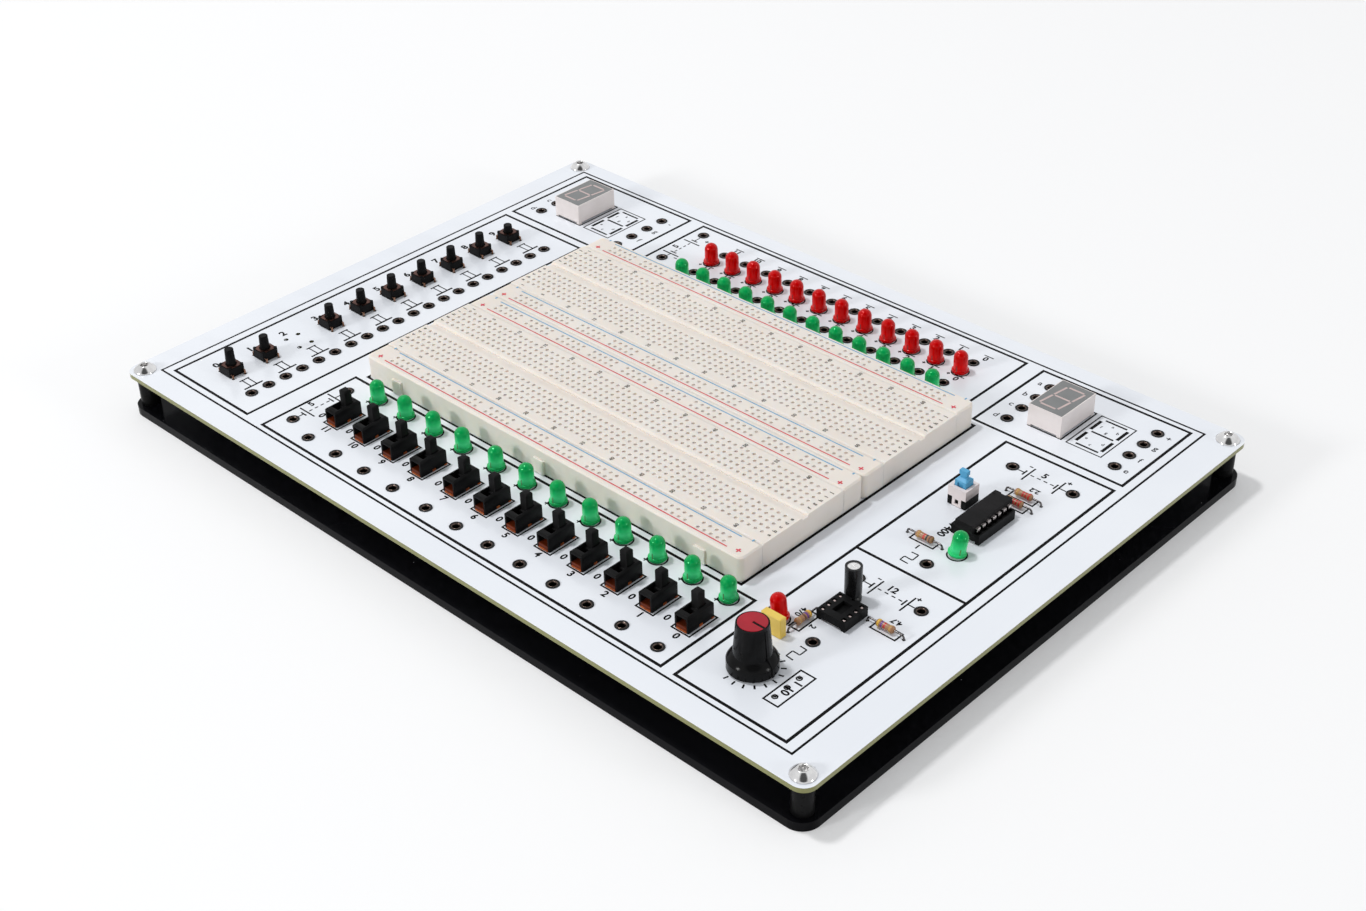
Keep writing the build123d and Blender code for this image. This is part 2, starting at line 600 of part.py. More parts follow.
with BuildPart() as patch_socket_sleeves:
    with Locations(*[(x, y, PANEL_TOP + SOCKET_RIM_HEIGHT) for x, y in socket_places]):
        add(socket_sleeve.part)
save(patch_socket_sleeves, "patch_socket_sleeves")

# ---------------------------------------------------------------- lamps
with BuildPart() as lamp:
    with BuildSketch(Plane.XZ):
        with BuildLine():
            shoulder = LAMP_HEIGHT - LAMP_DIAMETER / 2
            Polyline((0, 0), (LAMP_FLANGE_DIAMETER / 2, 0), (LAMP_FLANGE_DIAMETER / 2, LAMP_FLANGE_HEIGHT),
                     (LAMP_DIAMETER / 2, LAMP_FLANGE_HEIGHT), (LAMP_DIAMETER / 2, shoulder))
            CenterArc((0, shoulder), LAMP_DIAMETER / 2, 0, 90)
            Line((0, LAMP_HEIGHT), (0, 0))
        make_face()
    revolve(axis=Axis.Z)
    with Locations((LAMP_FLANGE_DIAMETER / 2 - LAMP_FLAT, 0, 0)):
        Box(LAMP_FLAT, LAMP_FLANGE_DIAMETER, LAMP_FLANGE_HEIGHT,
            align=(Align.MIN, Align.CENTER, Align.MIN), mode=Mode.SUBTRACT)

with BuildPart() as green_leds:
    with Locations(*[(x, y, SEAT) for x, y in green_lamps]):
        add(lamp.part)
    add(lamp.part.moved(lean(PULSE_LAMP, PULSE_LAMP_LEAN, PULSE_LAMP_TOWARD)))
save(green_leds, "green_leds")

with BuildPart() as red_leds:
    with Locations(*[(x, y, SEAT) for x, y in red_lamps]):
        add(lamp.part)
    add(lamp.part.moved(lean(CLOCK_LAMP, CLOCK_LAMP_LEAN, CLOCK_LAMP_TOWARD)))
save(red_leds, "red_leds")

# ---------------------------------------------------------------- slide switches
cavity_width = SWITCH_WIDTH - 2 * SWITCH_WALL
slot_width = KNOB_WIDTH + 2 * SLIDING_CLEARANCE
slot_length = KNOB_LENGTH + SWITCH_TRAVEL + 2 * SLIDING_CLEARANCE
roof_bottom = SWITCH_HEIGHT - SWITCH_ROOF
carriage_top = roof_bottom - SLIDING_CLEARANCE
carriage_bottom = carriage_top - CARRIAGE_HEIGHT

with BuildPart() as switch_shell:
    with BuildSketch():
        Rectangle(SWITCH_WIDTH, SWITCH_LENGTH)
    extrude(amount=SWITCH_HEIGHT)
    chamfer(switch_shell.faces().sort_by(Axis.Z)[-1].edges(), SWITCH_EDGE)
    with Locations((0, -SWITCH_LENGTH / 2, 0)):
        Box(cavity_width, SWITCH_LENGTH - SWITCH_WALL, roof_bottom,
            align=(Align.CENTER, Align.MIN, Align.MIN), mode=Mode.SUBTRACT)
    with Locations((0, 0, roof_bottom)):
        Box(slot_width, slot_length, SWITCH_ROOF,
            align=UPRIGHT, mode=Mode.SUBTRACT)
    with Locations((SWITCH_WIDTH / 2, 0, 0)):
        Box(2 * SWITCH_WALL, 2 * SWITCH_WALL, SWITCH_ROOF,
            align=UPRIGHT, mode=Mode.SUBTRACT)

with BuildPart() as slide_switch_housings:
    with Locations(*[(x, SWITCH_BODY_Y, PANEL_TOP) for x in switch_xs]):
        add(switch_shell.part)
save(slide_switch_housings, "slide_switch_housings")

with BuildPart() as slide_switch_wafers:
    with BuildSketch(Plane.XY.offset(SEAT)):
        with Locations(*[(x, SWITCH_BODY_Y - SWITCH_WALL / 2) for x in switch_xs]):
            Rectangle(cavity_width, SWITCH_LENGTH - SWITCH_WALL)
        with Locations(*switch_pins):
            Rectangle(LEAD_WIDTH, LEAD_WIDTH, mode=Mode.SUBTRACT)
    extrude(amount=WAFER_THICKNESS)
save(slide_switch_wafers, "slide_switch_wafers")

with BuildPart() as slider:
    with BuildSketch(Plane.XY.offset(carriage_bottom)):
        Rectangle(cavity_width - 2 * SLIDING_CLEARANCE, CARRIAGE_LENGTH)
    extrude(amount=CARRIAGE_HEIGHT)
    with BuildSketch(Plane.XY.offset(carriage_top)):
        Rectangle(KNOB_WIDTH, KNOB_LENGTH)
    extrude(amount=KNOB_TOP - carriage_top)
    chamfer(slider.faces().sort_by(Axis.Z)[-1].edges(), KNOB_EDGE)

for number, x in zip(range(len(switch_xs) - 1, -1, -1), switch_xs):
    with BuildPart() as placed_slider:
        add(slider.part.moved(Location((x, knob_y, PANEL_TOP))))
    save(placed_slider, f"slider_{number}")

# ---------------------------------------------------------------- push buttons
plunger_bore = PLUNGER_DIAMETER + 2 * SLIDING_CLEARANCE
post_offset = (BUTTON_BODY - BUTTON_POST_DIAMETER) / 2
button_places = [(BUTTON_X, button_ys[i]) for i in fitted_buttons]
button_body_top = SEAT + BUTTON_BODY_HEIGHT
plunger_bottom = SEAT + PLUNGER_FOOT

with BuildPart() as button_shell:
    with BuildSketch() as button_outline:
        Rectangle(BUTTON_BODY, BUTTON_BODY)
        chamfer(button_outline.vertices(), BUTTON_CORNER)
    extrude(amount=BUTTON_BODY_HEIGHT)
    with BuildSketch(Plane.XY.offset(BUTTON_BODY_HEIGHT)):
        with GridLocations(2 * post_offset, 2 * post_offset, 2, 2):
            Circle(BUTTON_POST_DIAMETER / 2)
    extrude(amount=BUTTON_POST_HEIGHT)
    with Locations((0, 0, BUTTON_BODY_HEIGHT)):
        Hole(plunger_bore / 2, depth=BUTTON_BODY_HEIGHT - PLUNGER_FOOT + 2 * BUTTON_TRAVEL)

with BuildPart() as push_button_housings:
    with Locations(*[(x, y, SEAT) for x, y in button_places]):
        add(button_shell.part)
save(push_button_housings, "push_button_housings")

with BuildPart() as push_button_covers:
    with BuildSketch(Plane.XY.offset(button_body_top)):
        with Locations(*button_places):
            Rectangle(BUTTON_BODY - 2 * BUTTON_COVER, BUTTON_BODY - 2 * BUTTON_COVER)
            Circle(plunger_bore / 2, mode=Mode.SUBTRACT)
            with GridLocations(2 * post_offset, 2 * post_offset, 2, 2):
                Circle(BUTTON_POST_DIAMETER / 2 + LEAD_CLEARANCE, mode=Mode.SUBTRACT)
    extrude(amount=BUTTON_COVER)
save(push_button_covers, "push_button_covers")

odd_plungers = {TALL_BUTTON: PLUNGER_TOP_TALL, SHORT_BUTTON: PLUNGER_TOP_SHORT}
for i in fitted_buttons:
    top = PANEL_TOP + odd_plungers.get(i, PLUNGER_TOP)
    with BuildPart() as plunger:
        with Locations((BUTTON_X, button_ys[i], plunger_bottom)):
            Cylinder(PLUNGER_DIAMETER / 2, button_body_top + BUTTON_COVER - plunger_bottom,
                     align=UPRIGHT)
        with Locations((BUTTON_X, button_ys[i], button_body_top + BUTTON_COVER)):
            Cone(PLUNGER_DIAMETER / 2, PLUNGER_TIP_DIAMETER / 2, top - button_body_top - BUTTON_COVER,
                 align=UPRIGHT)
        fillet(plunger.faces().sort_by(Axis.Z)[-1].edges(), 0.25)
    save(plunger, f"plunger_{i}")

# ---------------------------------------------------------------- seven-segment displays
slant = tan(radians(DIGIT_SLANT))


def bar(centre_x, centre_y, length, upright):
    """Corner points of one pointed segment bar, before the digit is slanted."""
    half, thick = length / 2, DIGIT_BAR / 2
    lying = [(-half, 0), (-half + thick, thick), (half - thick, thick),
             (half, 0), (half - thick, -thick), (-half + thick, -thick)]
    points = [(y, x) if upright else (x, y) for x, y in lying]
    return [(centre_x + x + slant * (centre_y + y), centre_y + y) for x, y in points]


column_x = (DIGIT_WIDTH - DIGIT_BAR) / 2
column_y = (DIGIT_HEIGHT - DIGIT_BAR) / 4
bars = [bar(0, level * 2 * column_y, 2 * column_x - DIGIT_GAP, False) for level in (-1, 0, 1)]
bars += [bar(sx * column_x, sy * column_y, 2 * column_y - DIGIT_GAP, True)
         for sx in (-1, 1) for sy in (-1, 1)]
display_places = [(edge + DISPLAY_CENTRE, DISPLAY_Y) for edge in display_edges]
face_width = DISPLAY_WIDTH - 2 * DISPLAY_RIM
face_length = DISPLAY_LENGTH - 2 * DISPLAY_RIM
face_level = PANEL_TOP + DISPLAY_HEIGHT - DISPLAY_FACE

with BuildPart() as display_housings:
    with BuildSketch(Plane.XY.offset(PANEL_TOP + DISPLAY_FOOT_HEIGHT)):
        with Locations(*display_places):
            Rectangle(DISPLAY_WIDTH, DISPLAY_LENGTH)
    extrude(amount=DISPLAY_HEIGHT - DISPLAY_FOOT_HEIGHT)
    with BuildSketch(Plane.XY.offset(PANEL_TOP)):
        with Locations(*display_places):
            with GridLocations(DISPLAY_WIDTH - DISPLAY_FOOT, DISPLAY_LENGTH - DISPLAY_FOOT, 2, 2):
                Rectangle(DISPLAY_FOOT, DISPLAY_FOOT)
    extrude(amount=DISPLAY_FOOT_HEIGHT)
    with BuildSketch(Plane.XY.offset(face_level)):
        with Locations(*display_places):
            Rectangle(face_width, face_length)
    extrude(amount=DISPLAY_FACE, mode=Mode.SUBTRACT)
save(display_housings, "display_housings")

with BuildSketch() as digit:
    for points in bars:
        with BuildLine():
            Polyline(*points, close=True)
        make_face()

with BuildPart() as display_faces:
    with BuildSketch(Plane.XY.offset(face_level)):
        with Locations(*display_places):
            Rectangle(face_width, face_length)
            add(digit.sketch, mode=Mode.SUBTRACT)
    extrude(amount=DISPLAY_FACE)
save(display_faces, "display_faces")

with BuildPart() as display_segments:
    with BuildSketch(Plane.XY.offset(face_level)):
        with Locations(*display_places):
            add(digit.sketch)
    extrude(amount=DISPLAY_FACE)
save(display_segments, "display_segments")

# ---------------------------------------------------------------- chip sockets and the chip
socket_top = PANEL_TOP + CHIP_SOCKET_HEIGHT
sockets = [(PULSE_CHIP, PULSE_CHIP_PINS), (CLOCK_SOCKET, CLOCK_SOCKET_PINS)]
chip_x, chip_y = PULSE_CHIP
chip_bottom = socket_top + CHIP_LIFT
chip_length = PULSE_CHIP_PINS * CONTACT_PITCH + 2 * CHIP_OVERHANG

with BuildPart() as chip_sockets:
    for (x, y), pins in sockets:
        length = pins * CONTACT_PITCH
        with BuildSketch(Plane.XY.offset(PANEL_TOP)):
            with Locations((x, y)):
                Rectangle(CHIP_SOCKET_WIDTH, length)
                Rectangle(CHIP_SOCKET_WINDOW, length - 2 * CONTACT_PITCH, mode=Mode.SUBTRACT)
                with Locations((0, length / 2)):
                    Circle(CHIP_SOCKET_WINDOW / 4, mode=Mode.SUBTRACT)
        extrude(amount=CHIP_SOCKET_HEIGHT)
        with Locations((x, y - length / 2, PANEL_TOP), (x, y + length / 2, PANEL_TOP)):
            Box(CHIP_SOCKET_WIDTH - 2 * CONTACT_WELL, 2 * CHIP_SOCKET_FOOT, 2 * CHIP_SOCKET_FOOT,
                mode=Mode.SUBTRACT)
    with BuildSketch(Plane.XY.offset(socket_top)):
        with Locations(*chip_contacts):
            Rectangle(CONTACT_WELL, CONTACT_WELL)
    extrude(amount=-CHIP_SOCKET_HEIGHT, mode=Mode.SUBTRACT)
save(chip_sockets, "chip_sockets")

with BuildPart() as pulse_chip:
    with BuildSketch(Plane.XY.offset(chip_bottom + CHIP_THICKNESS / 2)):
        with Locations(PULSE_CHIP):
            Rectangle(CHIP_WIDTH, chip_length)
    extrude(amount=CHIP_THICKNESS / 2, both=True, taper=5)
    with Locations((chip_x, chip_y + chip_length / 2, chip_bottom + CHIP_THICKNESS)):
        Cylinder(1.0, 0.8, mode=Mode.SUBTRACT)
    with Locations((chip_x - CHIP_WIDTH / 3, chip_y + chip_length / 2 - 2.2, chip_bottom + CHIP_THICKNESS)):
        Cylinder(0.5, 0.2, mode=Mode.SUBTRACT)
save(pulse_chip, "pulse_chip")

leg_level = chip_bottom + CHIP_THICKNESS / 2
with BuildPart() as chip_legs:
    for side in (-1, 1):
        outer_x = chip_x + side * (CHIP_ROW / 2 + CHIP_LEG_SHEET / 2)
        inner_x = chip_x + side * (CHIP_WIDTH / 2)
        rows = rectangle_grid((0, chip_y), 1, PULSE_CHIP_PINS, 0, CONTACT_PITCH)
        for _, y in rows:
            with Locations(((outer_x + inner_x) / 2, y, leg_level)):
                Box(abs(outer_x - inner_x), CHIP_LEG_SHOULDER, CHIP_LEG_SHEET)
            with Locations((outer_x - side * CHIP_LEG_SHEET / 2, y, leg_level + CHIP_LEG_SHEET / 2)):
                Box(CHIP_LEG_SHEET, CHIP_LEG_SHOULDER, leg_level - socket_top,
                    align=(Align.CENTER, Align.CENTER, Align.MAX))
                Box(CHIP_LEG_SHEET, CHIP_LEG_WIDTH, leg_level - socket_top + CHIP_SOCKET_HEIGHT / 2,
                    align=(Align.CENTER, Align.CENTER, Align.MAX))
save(chip_legs, "chip_legs")

# ---------------------------------------------------------------- pulse switch
select_x, select_y = PULSE_SWITCH
skirt_top = PANEL_TOP + SELECT_SKIRT
select_top = PANEL_TOP + SELECT_HEIGHT
cap_bore_x = SELECT_CAP_X + 2 * SLIDING_CLEARANCE
cap_bore_y = SELECT_CAP_Y + 2 * SLIDING_CLEARANCE
cap_bottom = skirt_top + SELECT_TRAVEL + SLIDING_CLEARANCE
cap_top = select_top + SELECT_CAP_RISE
neck_top = cap_top + SELECT_NECK_RISE

with BuildPart() as pulse_switch_housing:
    with BuildSketch(Plane.XY.offset(skirt_top)):
        with Locations(PULSE_SWITCH):
            Rectangle(SELECT_SIZE, SELECT_SIZE)
            Rectangle(cap_bore_x, cap_bore_y, mode=Mode.SUBTRACT)
    extrude(amount=SELECT_HEIGHT - SELECT_SKIRT)
    for side in (-1, 1):
        with BuildSketch(Plane.XZ.offset(-select_y + side * SELECT_SIZE / 2)):
            with Locations((select_x, PANEL_TOP + SELECT_SKIRT / 2 + SEAT_GAP)):
                Rectangle(SELECT_SIZE / 2, SELECT_SKIRT)
                Rectangle(SELECT_SIZE / 5, SELECT_SKIRT / 2, mode=Mode.SUBTRACT)
        extrude(amount=-side * SELECT_WALL / 2)
save(pulse_switch_housing, "pulse_switch_housing")

with BuildPart() as pulse_switch_base:
    with BuildSketch(Plane.XY.offset(SEAT)):
        with Locations(PULSE_SWITCH):
            Rectangle(SELECT_SIZE, SELECT_SIZE)
            with Locations((0, SELECT_SIZE / 2), (0, -SELECT_SIZE / 2)):
                Rectangle(SELECT_SIZE / 2 + 2 * LEAD_CLEARANCE, SELECT_WALL + 2 * LEAD_CLEARANCE,
                          mode=Mode.SUBTRACT)
    extrude(amount=SELECT_SKIRT - SEAT_GAP)
save(pulse_switch_base, "pulse_switch_base")

with BuildPart() as pulse_button:
    with BuildSketch(Plane.XY.offset(cap_bottom)):
        with Locations(PULSE_SWITCH):
            Rectangle(SELECT_CAP_X, SELECT_CAP_Y)
    extrude(amount=cap_top - cap_bottom - SELECT_NECK_RISE / 2)
    with BuildSketch(Plane.XY.offset(cap_top - SELECT_NECK_RISE / 2)):
        with Locations(PULSE_SWITCH):
            Rectangle(SELECT_CAP_X, SELECT_CAP_Y)
    with BuildSketch(Plane.XY.offset(cap_top)):
        with Locations(PULSE_SWITCH):
            Rectangle(SELECT_NECK_X, SELECT_NECK_Y)
    loft()
    with BuildSketch(Plane.XY.offset(cap_top)):
        with Locations(PULSE_SWITCH):
            Rectangle(SELECT_NECK_X, SELECT_NECK_Y)
    extrude(amount=SELECT_NECK_RISE)
    with BuildSketch(Plane.XY.offset(neck_top)):
        with Locations(PULSE_SWITCH):
            Rectangle(SELECT_HEAD_X, SELECT_HEAD_Y)
    extrude(amount=SELECT_HEAD_RISE)
    with Locations((select_x, select_y - SELECT_CAP_Y / 2, select_top - SELECT_WALL)):
        Box(SELECT_CAP_X / 2, SELECT_WALL, SELECT_WALL + SELECT_CAP_RISE / 2,
            align=UPRIGHT, mode=Mode.SUBTRACT)
save(pulse_button, "pulse_button")

# ---------------------------------------------------------------- resistors and capacitors
resistor_level = SEAT + RESISTOR_DIAMETER / 2
with BuildPart() as resistor_body:
    with BuildSketch(Plane.XZ):
        with BuildLine():
            end, bulge = RESISTOR_LENGTH / 2, RESISTOR_LENGTH / 5
            Line((-end, 0), (end, 0))
            Spline((end, 0), (end - bulge / 3, RESISTOR_DIAMETER / 2), (end - bulge, RESISTOR_WAIST / 2),
                   tangents=((0, 1), (-1, 0)))
            Line((end - bulge, RESISTOR_WAIST / 2), (bulge - end, RESISTOR_WAIST / 2))
            Spline((bulge - end, RESISTOR_WAIST / 2), (bulge / 3 - end, RESISTOR_DIAMETER / 2), (-end, 0),
                   tangents=((-1, 0), (0, -1)))
        make_face()
    revolve(axis=Axis.X)

with BuildPart() as resistors:
    with Locations(*[(x, y, resistor_level) for x, y in resistors_across]):
        add(resistor_body.part)
    add(resistor_body.part.moved(Location((*CLOCK_RESISTOR_ALONG, resistor_level), (0, 0, 90))))
save(resistors, "resistors")

can_diameter = CAPACITOR_DIAMETER - 2 * CAPACITOR_SLEEVE
can_bottom = SEAT + CAPACITOR_SLEEVE
can_top = SEAT + CAPACITOR_HEIGHT - CAPACITOR_SLEEVE


def can_profile(radius, bottom, top, crimp):
    """Half profile of the capacitor's can, necked in at the crimp near its foot."""
    neck = SEAT + CAPACITOR_CRIMP_HEIGHT
    half = CAPACITOR_CRIMP_DEPTH * 2
    Polyline((0, bottom), (radius, bottom), (radius, neck - half), (radius - crimp, neck),
             (radius, neck + half), (radius, top), (0, top), (0, bottom))


capacitor_plane = Plane(origin=(*CLOCK_CAPACITOR, 0), x_dir=(1, 0, 0), z_dir=(0, -1, 0))
capacitor_axis = Axis((*CLOCK_CAPACITOR, 0), (0, 0, 1))
with BuildPart() as capacitor_can:
    with BuildSketch(capacitor_plane):
        with BuildLine():
            can_profile(can_diameter / 2, can_bottom, can_top, CAPACITOR_CRIMP_DEPTH)
        make_face()
    revolve(axis=capacitor_axis)
    for angle in (0, 90):
        with Locations(Location((*CLOCK_CAPACITOR, can_top), (0, 0, angle))):
            Box(can_diameter - 2 * CAPACITOR_LIP, CAPACITOR_SLEEVE, CAPACITOR_SLEEVE, mode=Mode.SUBTRACT)
save(capacitor_can, "capacitor_can")

with BuildPart() as capacitor_sleeve:
    with BuildSketch(capacitor_plane):
        with BuildLine():
            can_profile(CAPACITOR_DIAMETER / 2, SEAT, SEAT + CAPACITOR_HEIGHT, CAPACITOR_CRIMP_DEPTH)
        make_face()
    revolve(axis=capacitor_axis)
    with BuildSketch(capacitor_plane):
        with BuildLine():
            can_profile(can_diameter / 2, can_bottom, can_top, CAPACITOR_CRIMP_DEPTH)
        make_face()
    revolve(axis=capacitor_axis, mode=Mode.SUBTRACT)
    with Locations((*CLOCK_CAPACITOR, can_top)):
        Cylinder(can_diameter / 2 - CAPACITOR_LIP, 4 * CAPACITOR_SLEEVE, mode=Mode.SUBTRACT)
    with Locations((*CLOCK_CAPACITOR, SEAT)):
        Cylinder(can_diameter / 2 - CAPACITOR_LIP, 4 * CAPACITOR_SLEEVE, mode=Mode.SUBTRACT)
save(capacitor_sleeve, "capacitor_sleeve")

with BuildPart() as film_capacitor:
    with BuildSketch(Plane.XY.offset(SEAT)):
        with Locations(CLOCK_FILM_CAPACITOR):
            Rectangle(FILM_LENGTH, FILM_WIDTH)
    extrude(amount=FILM_HEIGHT)
    fillet(film_capacitor.edges().filter_by(Axis.Z), FILM_EDGE)
    chamfer(film_capacitor.faces().sort_by(Axis.Z)[-1].edges(), FILM_EDGE)
save(film_capacitor, "film_capacitor")

# ---------------------------------------------------------------- clock potentiometer and its knob
knob_x, knob_axis_y = CLOCK_KNOB
pot_top = PANEL_BOTTOM
pot_bottom = pot_top - POT_HEIGHT
washer_top = PANEL_TOP + POT_WASHER_THICKNESS
bushing_top = PANEL_TOP + BUSHING_RISE
shaft_top = PANEL_TOP + SHAFT_RISE
shaft_bore = SHAFT_DIAMETER + 2 * SHAFT_CLEARANCE
dial_bottom = PANEL_TOP + DIAL_FLOAT
dial_top = PANEL_TOP + DIAL_TOP
hollow_top = PANEL_TOP + DIAL_HOLLOW_HEIGHT

with BuildPart() as potentiometer_body:
    with Locations((knob_x, knob_axis_y, pot_bottom)):
        Cylinder(POT_DIAMETER / 2, POT_HEIGHT, align=UPRIGHT)
    chamfer(potentiometer_body.faces().sort_by(Axis.Z)[0].edges(), POT_FLOOR / 2)
    with Locations((knob_x, knob_axis_y, pot_top)):
        Cylinder(BUSHING_DIAMETER / 2, bushing_top - pot_top, align=UPRIGHT)
    tab_length = POT_PIN_REACH + LEAD_WIDTH
    with Locations((knob_x, knob_axis_y, pot_top - POT_HEIGHT / 2)):
        Box(tab_length, (POT_PINS - 1) * POT_PIN_PITCH + 2 * LEAD_WIDTH, POT_TAB_THICKNESS,
            align=(Align.MIN, Align.CENTER, Align.MIN))
    with Locations((knob_x, knob_axis_y, pot_bottom + POT_FLOOR)):
        Cylinder(shaft_bore / 2, bushing_top - pot_bottom - POT_FLOOR, align=UPRIGHT, mode=Mode.SUBTRACT)
save(potentiometer_body, "potentiometer_body")

with BuildPart() as potentiometer_nut:
    with BuildSketch(Plane.XY.offset(PANEL_TOP)):
        with Locations(CLOCK_KNOB):
            Circle(POT_WASHER_DIAMETER / 2)
            Circle(BUSHING_DIAMETER / 2 + THREAD_CLEARANCE, mode=Mode.SUBTRACT)
    extrude(amount=POT_WASHER_THICKNESS)
    with BuildSketch(Plane.XY.offset(washer_top)):
        with Locations(CLOCK_KNOB):
            RegularPolygon(POT_NUT_WIDTH / 2, 6, major_radius=False)
            Circle(BUSHING_DIAMETER / 2 + THREAD_CLEARANCE, mode=Mode.SUBTRACT)
    extrude(amount=POT_NUT_HEIGHT)
save(potentiometer_nut, "potentiometer_nut")

with BuildPart() as pot_shaft:
    with Locations((knob_x, knob_axis_y, pot_bottom + POT_FLOOR + SEAT_GAP)):
        Cylinder(SHAFT_DIAMETER / 2, shaft_top - pot_bottom - POT_FLOOR - SEAT_GAP, align=UPRIGHT)
    chamfer(pot_shaft.faces().sort_by(Axis.Z)[-1].edges(), 0.4)
save(pot_shaft, "pot_shaft")

cap_seat = dial_top + DIAL_CAP_PROUD - DIAL_CAP_THICKNESS
with BuildPart() as dial:
    with BuildSketch(Plane.XZ):
        with BuildLine():
            skirt_r, foot_r, top_r = DIAL_SKIRT_DIAMETER / 2, DIAL_FOOT_DIAMETER / 2, DIAL_TOP_DIAMETER / 2
            shoulder_rise = DIAL_SHOULDER_HEIGHT - DIAL_SKIRT_HEIGHT
            Polyline((0, dial_bottom), (skirt_r, dial_bottom), (skirt_r, PANEL_TOP + DIAL_SKIRT_HEIGHT))
            ThreePointArc((skirt_r, PANEL_TOP + DIAL_SKIRT_HEIGHT),
                          (foot_r + DIAL_SHOULDER_BULGE * (skirt_r - foot_r),
                           PANEL_TOP + DIAL_SKIRT_HEIGHT + DIAL_SHOULDER_BULGE * shoulder_rise),
                          (foot_r, PANEL_TOP + DIAL_SHOULDER_HEIGHT))
            Polyline((foot_r, PANEL_TOP + DIAL_SHOULDER_HEIGHT), (top_r, dial_top), (0, dial_top),
                     (0, dial_bottom))
        make_face()
    revolve(axis=Axis.Z)
    with Locations((0, 0, dial_bottom)):
        Cylinder(DIAL_HOLLOW_DIAMETER / 2, hollow_top - dial_bottom, align=UPRIGHT, mode=Mode.SUBTRACT)
    with Locations((0, 0, hollow_top)):
        Cylinder(SHAFT_DIAMETER / 2, shaft_top - hollow_top, align=UPRIGHT, mode=Mode.SUBTRACT)
    with Locations((0, 0, cap_seat)):
        Cylinder(DIAL_CAP_DIAMETER / 2, DIAL_CAP_THICKNESS, align=UPRIGHT, mode=Mode.SUBTRACT)
    with BuildSketch(Plane.XZ):
        with BuildLine():
            rib_r = skirt_r + DIAL_RIB_PROUD
            Polyline((top_r - DIAL_POINTER_WIDTH / 2, dial_top),
                     (top_r + DIAL_RIB_PROUD, dial_top - DIAL_RIB_WIDTH),
                     (foot_r + DIAL_RIB_PROUD, PANEL_TOP + DIAL_SHOULDER_HEIGHT + DIAL_RIB_WIDTH),
                     (rib_r, PANEL_TOP + DIAL_SKIRT_HEIGHT + DIAL_RIB_PROUD), (rib_r, dial_bottom),
                     (skirt_r - DIAL_RIB_WIDTH, dial_bottom),
                     (skirt_r - DIAL_RIB_WIDTH, PANEL_TOP + DIAL_SKIRT_HEIGHT - DIAL_RIB_WIDTH),
                     (top_r - DIAL_POINTER_WIDTH / 2, PANEL_TOP + DIAL_SHOULDER_HEIGHT), close=True)
        make_face()
    extrude(amount=DIAL_RIB_WIDTH / 2, both=True)
    with Locations((0, 0, cap_seat)):
        Box(DIAL_CAP_DIAMETER / 2, DIAL_POINTER_WIDTH, DIAL_CAP_THICKNESS - DIAL_CAP_PROUD,
            align=(Align.MIN, Align.CENTER, Align.MIN))

with BuildPart() as clock_knob:
    add(dial.part.moved(Location((*CLOCK_KNOB, 0))))
save(clock_knob, "clock_knob")

with BuildPart() as clock_knob_cap:
    with BuildSketch(Plane.XY.offset(cap_seat)):
        with Locations(CLOCK_KNOB):
            Circle(DIAL_CAP_DIAMETER / 2)
            with Locations((DIAL_CAP_DIAMETER / 4 + DIAL_POINTER_WIDTH / 4, 0)):
                Rectangle(DIAL_CAP_DIAMETER / 2 + DIAL_POINTER_WIDTH / 2, DIAL_POINTER_WIDTH,
                          mode=Mode.SUBTRACT)
    extrude(amount=DIAL_CAP_THICKNESS)
save(clock_knob_cap, "clock_knob_cap")

# ---------------------------------------------------------------- leads
with BuildPart() as bent_wire:
    drop = resistor_level - TAIL_END
    with BuildLine() as wire_path:
        FilletPolyline((RESISTOR_LENGTH / 2, 0, 0), (RESISTOR_SPAN / 2, 0, 0),
                       (RESISTOR_SPAN / 2, 0, -drop), radius=WIRE_BEND)
    with BuildSketch(Plane(origin=(RESISTOR_LENGTH / 2, 0, 0), z_dir=(1, 0, 0))):
        Circle(WIRE_DIAMETER / 2)
    sweep(path=wire_path.line)

with BuildPart() as button_leg:
    leg_inner = BUTTON_BODY / 2
    leg_outer = BUTTON_LEG_SPAN / 2
    with Locations((leg_inner, 0, 0)):
        Box(leg_outer - leg_inner + BUTTON_COVER / 2, LEAD_WIDTH, BUTTON_COVER,
            align=(Align.MIN, Align.CENTER, Align.MIN))
    with Locations((leg_outer, 0, BUTTON_COVER)):
        Box(BUTTON_COVER, LEAD_WIDTH, SEAT + BUTTON_POST_DIAMETER - TAIL_END + BUTTON_COVER,
            align=(Align.CENTER, Align.CENTER, Align.MAX))

bent_wires = []
for x, y in resistors_across:
    spot = (x, y, resistor_level)
    bent_wires += [bent_wire.part.moved(Location(spot, (0, 0, turn))) for turn in (0, 180)]
spot = (along_x, along_y, resistor_level)
bent_wires += [bent_wire.part.moved(Location(spot, (0, 0, turn))) for turn in (90, 270)]

button_legs = []
for x, y in button_places:
    for side in (-1, 1):
        spot = Location((x, y + side * BUTTON_LEG_PITCH / 2, SEAT + BUTTON_POST_DIAMETER))
        button_legs += [button_leg.part.moved(spot * Location((0, 0, 0), (0, 0, turn)))
                        for turn in (0, 180)]

